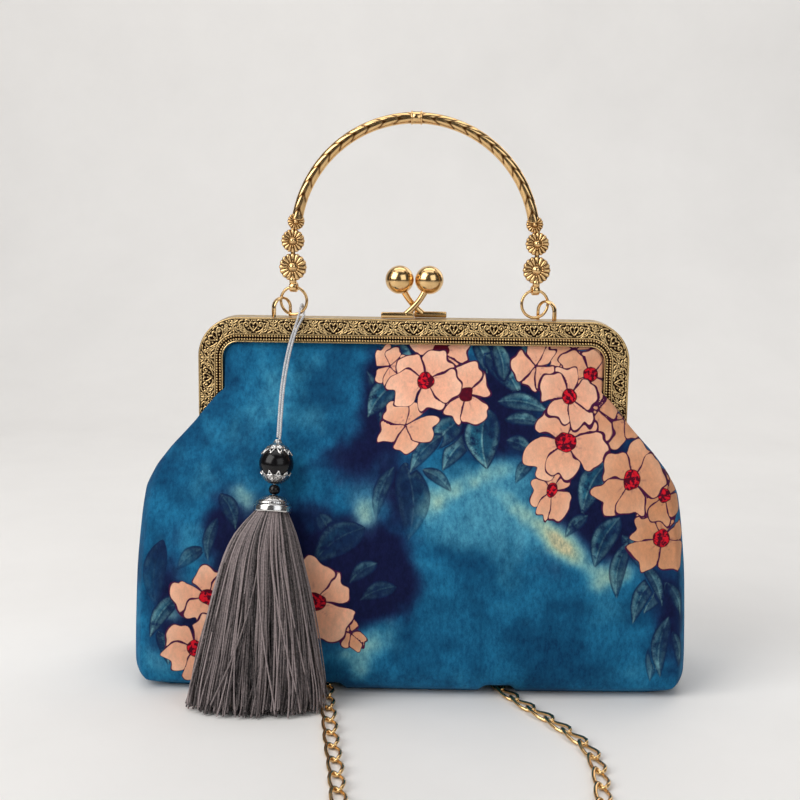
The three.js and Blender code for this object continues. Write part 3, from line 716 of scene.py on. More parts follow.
def walled(skin):
    """A closed wall: the fine outer skin, and an inner skin of every few rows and columns."""
    rows, columns = skin.shape[:2]
    normals = np.cross(np.gradient(skin, axis=1), np.gradient(skin, axis=0))
    lengths = np.linalg.norm(normals, axis=-1, keepdims=True)
    normals = normals / np.maximum(lengths, TINY)
    inner = (skin - CLOTH_WALL * normals)[::WALL_STRIDE, ::WALL_STRIDE].copy()
    inner[0, :, 1] = inner[:, 0, 1] = inner[:, -1, 1] = 0
    shape = Shape().add(skin, grid_faces(rows, columns))
    first = rows * columns
    inner_rows, inner_columns = inner.shape[:2]
    shape.add(inner, [face[::-1] for face in grid_faces(inner_rows, inner_columns)])
    outer_index = np.arange(first).reshape(rows, columns)
    inner_index = first + np.arange(inner_rows * inner_columns).reshape(inner_rows, inner_columns)
    for outer_edge, inner_edge, flip in (
        (outer_index[0], inner_index[0], True), (outer_index[-1], inner_index[-1], False),
        (outer_index[:, 0], inner_index[:, 0], False), (outer_index[:, -1], inner_index[:, -1], True),
    ):
        for i in range(len(inner_edge) - 1):
            run = outer_edge[i * WALL_STRIDE:(i + 1) * WALL_STRIDE + 1].tolist()
            face = run + [int(inner_edge[i + 1]), int(inner_edge[i])]
            shape.faces.append(face[::-1] if flip else face)
    return shape


def both_skins(values):
    """Values on the outer skin, then those of the inner skin."""
    width = values.shape[2:]
    inner = values[::WALL_STRIDE, ::WALL_STRIDE]
    return np.concatenate([values.reshape(-1, *width), inner.reshape(-1, *width)])


# Print: a common floral on a washed ground, drawn by formula from short tables
# Flowers from back to front: middle, radius, turn in degrees, squash, its direction, tan (painted shade: a
# share of the darker tan tone for flowers in dimmer light), and heart
FLOWERS = (
    (13, 159, 13.8, 10, 1.0, 0, 0.1, 1), (-11, 152, 9.7, 140, 0.75, 60, 0.15, 0),
    (-3, 126, 14.4, 205, 0.72, 35, 0.2, 0), (25, 140, 12.8, 24, 0.92, 40, 0.05, 1),
    (6, 146, 14.6, 60, 1.0, 0, 0.0, 2), (77, 160, 12.5, 40, 1.0, 0, 0.35, 0),
    (58, 153, 11.6, 250, 0.85, 80, 0.15, 0), (101, 129, 12.0, 20, 0.9, 30, 0.7, 0),
    (88, 133, 11.0, 70, 1.0, 0, 0.55, 0), (84, 149, 13.2, 15, 1.0, 0, 0.4, 2),
    (65, 98, 12.8, 30, 0.72, 75, 0.3, 2), (72, 119, 17.5, 54, 0.93, 0, 0.25, 2),
    (74, 139, 12.8, 88, 1.0, 0, 0.1, 2), (117, 76, 15.4, 12, 0.95, 0, 0.8, 2),
    (119, 95, 12.6, 40, 0.95, 0, 0.85, 2), (103, 102, 16.2, 66, 0.95, 60, 0.6, 2),
    (-27, 31, 9.4, 0, 0.6, 120, 0.6, 0), (-44, 46, 18.4, 30, 0.95, 0, 0.25, 2),
    (-94, 46, 14.9, 100, 0.95, 0, 0.2, 2), (-100, 21, 15.4, 64, 0.9, 0, 0.2, 2),
)
# Leaves from back to front: root, tip, width and how far it fades into the ground
LEAVES = (
    (-22, 150, -15, 124, 6, 0.5), (-16, 161, 1, 154, 9, 0.2), (-6, 146, -21, 129, 11, 0.15),
    (29, 165, 35, 149, 8, 0.2), (34, 158, 51, 139, 11, 0.1), (40, 137, 65, 132, 8, 0.1),
    (43, 129, 63, 126, 6, 0.15), (44, 120, 57, 114, 7, 0.3), (28, 122, 14, 106, 9, 0.2),
    (23, 129, 10, 115, 11, 0.1), (35, 134, 35, 107, 16, 0.0), (-3, 110, -1, 75, 15, 0.6),
    (5, 107, 19, 97, 6, 0.25), (63, 160, 67, 147, 6, 0.1), (92, 111, 79, 87, 12, 0.1),
    (82, 87, 71, 77, 6, 0.3), (98, 78, 107, 62, 7, 0.3), (97, 86, 85, 63, 11, 0.25),
    (120, 56, 109, 41, 9, 0.25), (120, 56, 128, 37, 6, 0.2), (123, 33, 127, 13, 6, 0.3),
    (121, 33, 113, 8, 8, 0.4), (-116, 72, -118, 38, 11, 0.75), (-96, 69, -109, 58, 7, 0.5),
    (-90, 83, -94, 62, 6, 0.45), (-89, 94, -81, 78, 8, 0.5), (-43, 87, -37, 75, 8, 0.6),
    (-21, 81, -45, 64, 14, 0.6), (-15, 65, -28, 55, 7, 0.5), (-6, 54, -23, 47, 8, 0.6),
    (-107, 47, -122, 25, 8, 0.1), (-118, 29, -113, 12, 7, 0.15), (101, 75, 96, 48, 8, 0.2),
    (115, 60, 104, 36, 8, 0.2), (121, 40, 118, 10, 8, 0.25), (43, 146, 37, 166, 8, 0.1),
    (51, 156, 63, 167, 7, 0.1), (14, 122, -1, 105, 8, 0.25), (-8, 108, -16, 84, 7, 0.5),
    (57, 112, 48, 101, 6, 0.3), (107, 66, 118, 44, 6, 0.2),
)
# Washes of the ground: middle, reach along X and Z, lean in degrees, and strength
NAVY = (
    (0, 150, 26, 26, 0, 1.0), (30, 126, 34, 18, -20, 1.2), (-16, 138, 11, 26, 10, 0.9),
    (46, 148, 22, 26, 0, 1.2), (88, 112, 30, 44, 20, 1.0), (96, 80, 22, 26, 40, 0.95),
    (122, 40, 14, 46, 6, 0.9), (70, 92, 18, 14, 0, 0.8), (-32, 66, 28, 28, 30, 1.3),
    (-40, 46, 32, 26, 0, 1.1), (-98, 34, 30, 26, 20, 1.25), (-82, 74, 18, 28, 15, 1.35),
    (-44, 108, 20, 12, 20, 0.55), (-22, 114, 16, 20, 0, 0.8), (-3, 98, 14, 22, 0, 0.9),
    (62, 64, 22, 12, -25, 0.4), (-112, 60, 10, 26, 0, 0.7), (-12, 58, 22, 26, 20, 1.15),
    (-62, 84, 20, 16, 0, 0.6),
)
PALE = (
    (-60, 146, 26, 20, 20, 0.35), (-88, 118, 30, 18, 30, 0.3), (-52, 128, 20, 10, 0, 0.4),
    (34, 86, 52, 26, -14, 0.75), (-20, 92, 16, 12, 0, 0.5), (-100, 92, 18, 12, 20, 0.3),
    (90, 40, 26, 22, 0, 0.25), (-70, 12, 30, 10, 0, 0.3), (-116, 14, 14, 10, 0, 0.4),
    (-18, 24, 22, 14, 45, 0.5), (100, 12, 24, 10, 0, 0.25), (44, 104, 22, 10, 10, 0.5),
)
GLOW = (
    (24, 100, 24, 9, 22, 0.6), (10, 90, 14, 9, 20, 0.4), (52, 88, 24, 7, -38, 0.6),
    (72, 72, 17, 8, -40, 0.85), (86, 56, 9, 12, -50, 0.5), (99, 60, 12, 9, 20, 0.55),
    (-20, 88, 12, 11, 0, 0.5), (-78, 92, 12, 9, -10, 0.5), (-97, 107, 10, 7, 0, 0.35),
    (-115, 64, 7, 13, 0, 0.35), (-22, 20, 13, 16, -35, 0.55), (-12, 32, 13, 10, 40, 0.45),
    (44, 108, 12, 7, 0, 0.4), (-112, 37, 8, 6, 0, 0.4),
)
WASH_FALL = 1.6
# Clouds of the ground: share, size and seed
DRIFT = ((0.45, 34, 1), (0.3, 15, 2), (0.25, 6.5, 3))
RAGGED = ((0.35, 11, 4), (0.2, 4.2, 5))
RAGGED_SHARE = {"pale": 0.8, "navy": 1.0, "glow": 0.9}
# Washes from first to last: ink, what it follows, cover, and where that starts to show and shows in full
WASHES = (
    ("mid", "drift", 1.0, 0.2, 0.62), ("light", "drift", 0.55, 0.56, 0.86), ("light", "pale", 0.8, 0.12, 0.8),
    ("navy", "navy", 0.94, 0.25, 1.0), ("light", "glow", 0.85, 0.08, 0.7), ("glow", "glow", 0.7, 0.25, 0.95),
    ("ember", "glow", 0.4, 0.75, 1.05),
)
LEAF = {
    "spread": 1.08, "bend": 0.09, "belly": 0.8, "point": 0.95, "dim": 1.15, "near": 0.7, "root_light": 0.35,
    "light_run": (0.1, 0.8), "fade_run": (0.1, 1.0), "blotch_least": 0.5, "blotch": 0.8,
}
FLOWER = {
    "spread": 1.12, "near": 1.4, "heart": 0.25, "heart_wobble": 0.3, "heart_rim": 1.5, "line": 0.42,
    "pale_shaded": 0.7, "swirl": 1.1, "petals": 5,
}
# Share of red in a heart of each kind: a dark one and a red one
HEART_RED = {1: 0.05, 2: 1.0}
PETAL = {
    "turn": 0.16, "turn_phase": 3.7, "size": 0.12, "size_phase": 2.4, "swirl": 0.4, "wobble": 0.5,
    "ruffle": 0.085, "ruffles": 5.5, "ruffle_phase": 2, "shoulder": 0.22, "shoulder_power": 3,
    "notch": 0.07, "notch_wide": 0.25, "wide": 1.22, "heart_gap": 0.5,
    "pale": 0.75, "pale_run": (0.45, 0.98), "pale_least": 0.35, "pale_side": (-0.9, 0.6),
    "streak": 0.3, "streak_wide": 0.3, "streaks": 3.1, "streak_phase": 0.4, "streak_end": (0.25, 0.5),
    "line_least": 0.3, "line_swell": 1.5, "line_shift": 0.4, "line_root": 0.35, "line_run": (0.25, 0.6),
}
# Noises of the print: size and seed
BLOTCH = (3.4, 21)
WOBBLE = (2.8, 11)
SWIRL = (6.5, 12)
# A distance far from every outline, and how near two outlines touch
FAR = 9.0
APART = 1.3
# Cells of a cloud's lattice before it repeats, and the shift of its origin
CLOUD_CELLS = 64
CLOUD_SHIFT = 31.0


def lattice_cloud(u, v, size, seed):
    """Smooth noise from 0 to 1 with features of one size."""
    values = np.random.default_rng(seed).random((CLOUD_CELLS, CLOUD_CELLS))
    a = u / size + CLOUD_SHIFT
    b = v / size + CLOUD_SHIFT
    i = np.floor(a).astype(int)
    j = np.floor(b).astype(int)
    s = step(a - i, 0, 1)
    t = step(b - j, 0, 1)

    def corner(right, up):
        return values[(i + right) % CLOUD_CELLS, (j + up) % CLOUD_CELLS]

    low = corner(0, 0) * (1 - s) + corner(1, 0) * s
    high = corner(0, 1) * (1 - s) + corner(1, 1) * s
    return low * (1 - t) + high * t


def wash_amount(table, u, v):
    total = np.zeros_like(u)
    for x, z, wide, high, lean, strength in table:
        along, across = leaning(u - x, v - z, lean)
        total += strength * np.exp(-WASH_FALL * ((along / wide) ** 2 + (across / high) ** 2))
    return total


def painted_ground(u, v):
    """Display colours of the ground, one wash laid over another."""
    ragged = sum(share * (lattice_cloud(u, v, size, seed) - NOISE_MIDDLE) for share, size, seed in RAGGED)
    amounts = {"drift": sum(share * lattice_cloud(u, v, size, seed) for share, size, seed in DRIFT)}
    for name, table in (("pale", PALE), ("navy", NAVY), ("glow", GLOW)):
        amounts[name] = wash_amount(table, u, v) + RAGGED_SHARE[name] * ragged
    tones = np.zeros((*u.shape, 3)) + TONE["deep"]
    for ink, name, cover, low, high in WASHES:
        laid = cover * step(amounts[name], low, high)[..., None]
        tones = tones * (1 - laid) + np.array(TONE[ink]) * laid
    return tones


class Layers:
    """Outlines laid one under another, and the distance in millimetres to the edge of what shows of each."""

    def __init__(self, u, v, classes):
        self.u = u
        self.v = v
        self.covered = np.full(u.shape, -FAR)
        self.best = np.full(u.shape, -FAR)
        self.classes = np.full((classes, *u.shape), -FAR)
        self.held = np.zeros((classes, *u.shape), bool)

    def lay(self, near, inside):
        """Lays an outline under those before it, in a class of its own among its neighbours.

        Gives the places where it is the nearest one that shows, and which of the near places they are.
        """
        shown = np.full(self.u.shape, -FAR)
        shown[near] = np.minimum(inside, -self.covered[near])
        touch = shown > -APART
        free = [k for k in range(len(self.classes)) if not (self.held[k] & touch).any()]
        k = free[0] if free else len(self.classes) - 1
        self.held[k] |= touch
        self.classes[k] = np.maximum(self.classes[k], shown)
        nearer = shown[near] > self.best[near]
        index = np.flatnonzero(near)[nearer]
        self.best.flat[index] = shown[near][nearer]
        self.covered[near] = np.maximum(self.covered[near], inside)
        return index, nearer

    def numbered(self, name):
        return {f"{name}_{k}": field for k, field in enumerate(self.classes)}


class Foliage(Layers):
    """Leaves: pointed, dark towards the root, one half lighter."""

    def __init__(self, u, v):
        super().__init__(u, v, LEAF_CLASSES)
        self.cover = np.zeros(u.shape)
        self.rib = np.full(u.shape, FAR)
        self.light = np.zeros(u.shape)
        self.blotch = lattice_cloud(u, v, *BLOTCH)

    def add(self, root_x, root_z, tip_x, tip_z, width, fade):
        """Adds a leaf that lies under those added before it."""
        long = math.hypot(tip_x - root_x, tip_z - root_z)
        middle = np.hypot(self.u - (root_x + tip_x) / 2, self.v - (root_z + tip_z) / 2)
        near = middle < long * LEAF["near"] + width
        u, v = self.u[near], self.v[near]
        c, s = (tip_x - root_x) / long, (tip_z - root_z) / long
        along = ((u - root_x) * c + (v - root_z) * s) / long
        a = np.clip(along, 0, 1)
        turn = 1 if tip_x > root_x else -1
        across = (v - root_z) * c - (u - root_x) * s - turn * LEAF["bend"] * long * np.sin(math.pi * a)
        swell = 4 * a ** LEAF["belly"] * (1 - a ** LEAF["belly"])
        half = LEAF["spread"] * width / 2 * swell ** LEAF["point"]
        inside = half - np.abs(across) - long * np.abs(along - a)
        index, nearer = self.lay(near, inside)
        light = at_least(LEAF["root_light"], step(a, *LEAF["light_run"])) * (1 - LEAF["dim"] * fade)
        light = light * (LEAF["blotch_least"] + LEAF["blotch"] * self.blotch[near])
        self.cover.flat[index] = (1 - fade * step(a, *LEAF["fade_run"]))[nearer]
        self.rib.flat[index] = (turn * across)[nearer]
        self.light.flat[index] = light[nearer]

    def fields(self):
        return self.numbered("leaf") | {
            "leaf_cover": self.cover, "leaf_rib": self.rib, "leaf_light": self.light,
        }


class Blooms(Layers):
    """Flowers: ruffled petals laid one over the next, with dark outlines, round a red and dark heart."""

    def __init__(self, u, v):
        super().__init__(u, v, PETAL_CLASSES)
        self.wobble = lattice_cloud(u, v, *WOBBLE) - NOISE_MIDDLE
        self.swirl = FLOWER["swirl"] * (lattice_cloud(u, v, *SWIRL) - NOISE_MIDDLE)
        self.heart = np.full(u.shape, -FAR)
        self.heart_red = np.zeros(u.shape)
        self.line = np.full(u.shape, FLOWER["line"])
        self.tone = np.zeros((*u.shape, 3))

    def add(self, x, z, radius, turn, squash, direction, tan, heart):
        """Adds a flower that lies under those added before it."""
        radius = radius * FLOWER["spread"]
        near = np.hypot(self.u - x, self.v - z) < radius * FLOWER["near"]
        p, q = leaning(self.u[near] - x, self.v[near] - z, direction)
        u, v = leaning(p, q / squash, -direction)
        rho = np.hypot(u, v)
        theta = np.arctan2(v, u)
        if heart:
            self.add_heart(near, rho, radius, HEART_RED[heart])
        # Painted shade: a flower's tan mixes its petals and their pale rims towards the darker tan tone,
        # where the flower lies in dimmer light
        petal_shaded = np.array(TONE["petal_shaded"])
        pale_shaded = FLOWER["pale_shaded"] * tan
        flesh = np.array(TONE["petal"]) * (1 - tan) + petal_shaded * tan
        pale = np.array(TONE["petal_pale"]) * (1 - pale_shaded) + petal_shaded * pale_shaded
        for k in reversed(range(FLOWER["petals"])):
            self.add_petal(k, near, rho, theta, radius, turn, flesh, pale)

    def add_heart(self, near, rho, radius, red):
        core = FLOWER["heart"] * radius * (1 + FLOWER["heart_wobble"] * self.wobble[near]) - rho
        self.heart[near] = np.maximum(self.heart[near], np.minimum(core, -self.covered[near]))
        self.heart_red[near] = np.where(core > -FLOWER["heart_rim"], red, self.heart_red[near])

    def add_petal(self, k, near, rho, theta, radius, turn, flesh, pale):
        wobble, swirl = self.wobble[near], self.swirl[near]
        half = math.pi / FLOWER["petals"]
        sway = PETAL["turn"] * math.sin(PETAL["turn_phase"] * k + radius)
        spin = math.radians(turn) + 2 * half * (k + sway)
        bearing = np.angle(np.exp(1j * (theta - spin + swirl * PETAL["swirl"] * rho / radius))) / half
        size = radius * (1 + PETAL["size"] * math.sin(PETAL["size_phase"] * k + turn))
        ruffle = PETAL["ruffle"] * np.sin(PETAL["ruffles"] * bearing + PETAL["ruffle_phase"] * k)
        shoulder = PETAL["shoulder"] * np.abs(bearing) ** PETAL["shoulder_power"]
        rim = size * (1 - shoulder - PETAL["notch"] * bell(bearing, PETAL["notch_wide"]) + ruffle)
        side = (PETAL["wide"] - np.abs(bearing)) * half * np.maximum(rho, PETAL["heart_gap"])
        inside = np.minimum(rim - rho, side) + PETAL["wobble"] * wobble
        out = rho / size
        lit = at_least(PETAL["pale_least"], step(bearing, *PETAL["pale_side"]))
        shade = step(out, *PETAL["pale_run"]) * lit
        wave = np.abs(np.sin(bearing * PETAL["streaks"] + PETAL["streak_phase"]))
        streak = (1 - step(wave, 0, PETAL["streak_wide"])) * (1 - step(out, *PETAL["streak_end"]))
        tone = flesh + PETAL["pale"] * shade[:, None] * (pale - flesh)
        tone = tone + PETAL["streak"] * streak[:, None] * (np.array(TONE["outline"]) - tone)
        line = PETAL["line_least"] + PETAL["line_swell"] * np.clip(wobble + swirl + PETAL["line_shift"], 0, 1)
        line = line * at_least(PETAL["line_root"], step(out, *PETAL["line_run"]))
        index, nearer = self.lay(near, inside)
        self.line.flat[index] = FLOWER["line"] * line[nearer]
        self.tone.reshape(-1, 3)[index] = tone[nearer]

    def fields(self):
        return self.numbered("petal") | {
            "flower": self.covered, "petal_line": self.line, "heart": self.heart, "heart_red": self.heart_red,
        }


def cloth_print(places, facing):
    """The print at places on the flat cloth: colours and single values, by the name of their attribute."""
    u, v = facing * places[..., 0], places[..., 1]
    foliage = Foliage(u, v)
    for leaf in reversed(LEAVES):
        foliage.add(*leaf)
    blooms = Blooms(u, v)
    for flower in reversed(FLOWERS):
        blooms.add(*flower)
    colors = {"print": linear(painted_ground(u, v)), "petal_tone": linear(blooms.tone)}
    return colors, foliage.fields() | blooms.fields()


def make_pouch():
    skin, places = pouch_half()
    for name, facing in HALVES.items():
        mesh = walled(skin).moved(faced(facing)).mesh(f"pouch_{name}", weld=False)
        colors, fields = cloth_print(places, facing)
        for key, values in colors.items():
            carry(mesh, key, np.column_stack([both_skins(values), np.ones(len(mesh.vertices))]))
        for key, values in fields.items():
            carry(mesh, key, both_skins(values))
        set_piece(mesh, CLOTH, "bag", "cloth", "bag_body")


make_pouch()


# Geometry trees: each takes paths, and gives a plain mesh
class Recipe(Graph):
    """A geometry tree with named inputs, grown on a mesh of paths."""

    def __init__(self, name, **inputs):
        super().__init__(bpy.data.node_groups.new(name, "GeometryNodeTree"))
        self.add_socket("Geometry", "INPUT", "NodeSocketGeometry")
        self.keys = {key: self.add_socket(key, "INPUT", kind) for key, kind in inputs.items()}
        self.add_socket("Geometry", "OUTPUT", "NodeSocketGeometry")
        self.source = self.tree.nodes.new("NodeGroupInput")

    def add_socket(self, name, way, kind):
        return self.tree.interface.new_socket(name, in_out=way, socket_type=kind).identifier

    def given(self, key):
        return Wire(self, socket_named(self.source.outputs, key))

    def close(self, geometry):
        whole = self.node("GeometryNodeRealizeInstances", None, {"Geometry": geometry})
        sockets = {"Geometry": whole, "Material": self.given("Finish")}
        dressed = self.node("GeometryNodeSetMaterial", None, sockets)
        result = self.tree.nodes.new("NodeGroupOutput")
        self.feed(result.inputs[0], dressed)

    def grow(self, name, mesh, **inputs):
        """A plain mesh of what the tree makes on a mesh of paths."""
        carrier = linked(name, mesh)
        modifier = carrier.modifiers.new("grow", "NODES")
        modifier.node_group = self.tree
        for key, value in inputs.items():
            modifier[self.keys[key]] = value
        grown = bpy.data.meshes.new_from_object(carrier.evaluated_get(bpy.context.evaluated_depsgraph_get()))
        carrier.modifiers.remove(modifier)
        bpy.data.objects.remove(carrier)
        grown.name = name
        return smoothed(grown)


def path_mesh(name, paths, **values):
    """A mesh of open lines, with a value for each point."""
    mesh = bpy.data.meshes.new(name)
    edges = []
    count = 0
    for path in paths:
        edges += [(count + i, count + i + 1) for i in range(len(path) - 1)]
        count += len(path)
    mesh.from_pydata((np.concatenate(paths) * MM).tolist(), edges, [])
    for key, value in values.items():
        carry(mesh, key, np.concatenate(value))
    return mesh


FLOAT = "NodeSocketFloat"
SHADER = "NodeSocketMaterial"


def line_of(recipe):
    return recipe.node("GeometryNodeMeshToCurve", None, {"Mesh": recipe.given("Geometry")})


def spaced_points(recipe):
    """Points along the given paths, a pitch apart."""
    sockets = {"Curve": line_of(recipe), "Length": recipe.given("Pitch")}
    return recipe.node("GeometryNodeCurveToPoints", {"mode": "LENGTH"}, sockets, "Points")


def ring_curve(recipe, sides, radius):
    sockets = {"Resolution": sides, "Radius": radius}
    return recipe.node("GeometryNodeCurvePrimitiveCircle", {"mode": "RADIUS"}, sockets, "Curve")


def bead_row_recipe():
    recipe = Recipe("bead_rows", Pitch=FLOAT, Radius=FLOAT, Finish=SHADER)
    ball_size = {"Segments": BEADS["sides"], "Rings": BEADS["rings"], "Radius": recipe.given("Radius")}
    bead = recipe.node("GeometryNodeMeshUVSphere", None, ball_size, "Mesh")
    sockets = {"Points": spaced_points(recipe), "Instance": bead}
    recipe.close(recipe.node("GeometryNodeInstanceOnPoints", None, sockets))
    return recipe


def strand_recipe():
    recipe = Recipe("strands", Radius=FLOAT, Finish=SHADER)
    ring = ring_curve(recipe, FRINGE["sides"], recipe.given("Radius"))
    sockets = {"Curve": line_of(recipe), "Profile Curve": ring, "Fill Caps": True}
    recipe.close(recipe.node("GeometryNodeCurveToMesh", None, sockets))
    return recipe


def twisted_link(recipe):
    """An oval link, twisted along its length and leaning to one side."""
    oval = ring_curve(recipe, CHAIN["sides"], 1.0)
    place = recipe.node("GeometryNodeInputPosition")
    across = recipe.node("ShaderNodeSeparateXYZ", None, {"Vector": place}, "X")
    along = recipe.node("ShaderNodeSeparateXYZ", None, {"Vector": place}, "Y")
    angle = along * recipe.given("Twist")
    reach = across * recipe.given("Wide")
    sockets = {
        "X": reach * angle.math("COSINE", angle) + along * recipe.given("Lean"),
        "Y": reach * angle.math("SINE", angle),
        "Z": along * recipe.given("Long"),
    }
    bent = recipe.node("ShaderNodeCombineXYZ", None, sockets)
    oval = recipe.node("GeometryNodeSetPosition", None, {"Geometry": oval, "Position": bent})
    wire = ring_curve(recipe, CHAIN["wire_sides"], recipe.given("Wire"))
    return recipe.node("GeometryNodeCurveToMesh", None, {"Curve": oval, "Profile Curve": wire})


def chain_recipe():
    """Links twisted along their length, so that each passes through the next and all lie flat."""
    sizes = dict.fromkeys(("Pitch", "Long", "Wide", "Wire", "Twist", "Lean"), FLOAT)
    recipe = Recipe("chain_links", **sizes, Finish=SHADER)
    places = spaced_points(recipe)
    tangent = Wire(recipe, socket_named(places.socket.node.outputs, "Tangent"))
    vector = {"data_type": "FLOAT_VECTOR"}
    side = recipe.node("GeometryNodeInputNamedAttribute", vector, {"Name": "side"}, "Attribute")
    axes = {"primary_axis": "Z", "secondary_axis": "X"}
    sockets = {"Primary Axis": tangent, "Secondary Axis": side}
    turns = recipe.node("FunctionNodeAxesToRotation", axes, sockets)
    sockets = {"Points": places, "Instance": twisted_link(recipe), "Rotation": turns}
    recipe.close(recipe.node("GeometryNodeInstanceOnPoints", None, sockets))
    return recipe


# Metal frame
BAND_MIDDLE = 6.0
BAND_STRAIGHT = FRAME["half"] - FRAME["corner"]
BAND_ARC = (FRAME["corner"] - BAND_MIDDLE) * math.pi / 2
BAND_LEG = FRAME["top"] - FRAME["corner"] - FRAME["leg_end"]
BAND_RUN = BAND_STRAIGHT + BAND_ARC + BAND_LEG
# The carved face of the band: its first and last inset, its rows and the places along it
FACE = {"first": 0.35, "last": 11.75, "rows": 48, "runs": 1150}
# The band's section past its carved face, as inset and depth: its inner edge, and its outer edge with the rim
INNER_EDGE = np.array([(12.0, 5.0), (12.0, 6.1)])
OUTER_EDGE = np.array([(0.1, 6.3), (0, 5.9), (0, 3.0), (0, 0.5), (0.3, 0.15), (3.5, 0.15), (3.5, 5.0)])
ORNAMENT = {
    "units": 14, "height": 0.5, "spacing": 0.2, "crest": 0.1125, "foot": 0.375, "starts": (0.5, 0.9),
    "ends": (7.6, 8.0), "ground": 0.1, "ground_size": 0.6, "ground_seed": 31, "plain_edge": 0.4,
}
# Plain rails along the band: inset and width
RAILS = ((0.45, 0.35), (7.95, 0.26), (11.6, 0.35))
BEADS = {
    "insets": (8.9, 10.5), "pitch": 1.3, "radius": 0.58, "depth": 6.45, "proud": 0.4, "sides": 8, "rings": 5,
}


def band_place(run, inset):
    """X and Z on the band at a distance from the middle of its top and an inset from its outer edge."""
    side = np.sign(run)
    far = np.abs(run)
    turn = np.clip((far - BAND_STRAIGHT) / (FRAME["corner"] - BAND_MIDDLE), 0, math.pi / 2)
    drop = np.maximum(far - BAND_STRAIGHT - BAND_ARC, 0)
    radius = FRAME["corner"] - inset
    x = side * (np.minimum(far, BAND_STRAIGHT) + radius * np.sin(turn))
    return x, FRAME["top"] - FRAME["corner"] + radius * np.cos(turn) - drop


# Half a unit of the ornament, from the middle of a heart to a bud: run and inset along each line
HEART = ((0, 6.6), (0.9, 5.5), (1.7, 4.3), (1.9, 3.2), (1.4, 2.4), (0.7, 2.5), (0, 3.4))
HEART_DROP = ((0, 4.4), (0, 5.2))
LARGE_SCROLL = (
    (1.3, 7.1), (2.7, 6.7), (4.1, 5.7), (4.8, 4.3), (4.4, 2.9), (3.4, 2.4), (2.7, 3.1), (2.9, 4.1),
    (3.6, 4.2), (3.6, 3.5),
)
SMALL_SCROLL = ((4.4, 7.1), (5.6, 6.7), (6.5, 5.7), (6.5, 4.6), (5.8, 4.2), (5.5, 4.9), (5.9, 5.4))
RISING_SCROLL = ((5.1, 1.4), (6.2, 1.7), (7.1, 2.6), (7.2, 3.6), (6.6, 3.9), (6.3, 3.3), (6.6, 2.9))
END_SCROLL = ((6.9, 7.2), (7.9, 6.8), (8.7, 5.9), (8.6, 4.9), (8.0, 5.0), (8.0, 5.6))
OUTER_LEAVES = (
    ((1.9, 1.5), (2.9, 1.2), (3.9, 1.5)),
    ((7.5, 1.5), (8.2, 2.2), (8.9, 2.5)),
    ((3.3, 7.4), (4.0, 6.8), (4.6, 6.0)),
)
BUD = (
    ((9.4, 1.6), (9.4, 3.4)),
    ((9.4, 4.4), (9.4, 5.2)),
    ((9.4, 6.2), (9.4, 7.2)),
    ((8.2, 3.2), (8.8, 3.8), (9.4, 4.0)),
)
DOTS = (
    ((2.3, 5.4), (2.4, 5.3)), ((5.4, 2.9), (5.4, 3.0)), ((0, 1.4), (0, 1.5)), ((0.8, 1.4), (0.9, 1.4)),
    ((5.3, 5.9), (5.4, 5.8)), ((7.4, 4.5), (7.4, 4.6)), ((7.3, 5.9), (7.4, 5.8)), ((8.4, 1.4), (8.5, 1.4)),
)
SCROLLS = (
    HEART, HEART_DROP, LARGE_SCROLL, SMALL_SCROLL, RISING_SCROLL, END_SCROLL, *OUTER_LEAVES, *BUD, *DOTS,
)


def scroll_places():
    """Closely spaced places along every line of half a unit."""
    places = []
    for line in SCROLLS:
        flat = np.column_stack([line, np.zeros(len(line))])
        count = max(2, round(length_of(flat) / ORNAMENT["spacing"]))
        places.append(curve_through(flat, count)[:, :2])
    return np.concatenate(places)


def ornament(run, inset):
    """Height of the relief from 0 to 1: scrolls on a grained ground, between the rails."""
    long = 2 * BAND_RUN / ORNAMENT["units"]
    from_heart = np.abs(np.mod(run + long / 2, long) - long / 2)
    nearest = np.full(run.shape, FAR)
    for a, b in scroll_places():
        np.minimum(nearest, np.hypot(from_heart - a, inset - b), out=nearest)
    relief = 1 - step(nearest, ORNAMENT["crest"], ORNAMENT["foot"])
    grains = lattice_cloud(run, inset, ORNAMENT["ground_size"], ORNAMENT["ground_seed"])
    relief = np.maximum(relief, ORNAMENT["ground"] * grains)
    inside = step(inset, *ORNAMENT["starts"]) * (1 - step(inset, *ORNAMENT["ends"]))
    rails = sum(bell(inset - place, wide) for place, wide in RAILS)
    return np.clip(relief * inside + rails, 0, 1)


def embossed_band():
    """The front half of the frame, carved on its face."""
    runs = np.linspace(-BAND_RUN, BAND_RUN, FACE["runs"])
    face = np.linspace(FACE["first"], FACE["last"], FACE["rows"])[::-1]
    insets = np.concatenate([INNER_EDGE[:, 0], face, OUTER_EDGE[:, 0]])
    depths = np.concatenate([INNER_EDGE[:, 1], np.full(len(face), FRAME["depth"]), OUTER_EDGE[:, 1]])
    run, inset = np.meshgrid(runs, insets, indexing="ij")
    x, z = band_place(run, inset)
    relief = np.zeros_like(x)
    carved = slice(len(INNER_EDGE), len(INNER_EDGE) + len(face))
    relief[:, carved] = ornament(run[:, carved], inset[:, carved])
    y = -depths - ORNAMENT["height"] * relief
    relief[:, carved.stop:] = ORNAMENT["plain_edge"]
    columns = len(insets)
    faces = grid_faces(len(runs), columns, wrap_columns=True)
    faces += [row_face(0, columns), row_face(len(runs) - 1, columns)]
    return Shape().add(np.stack([x, y, z], -1), faces, relief=relief)


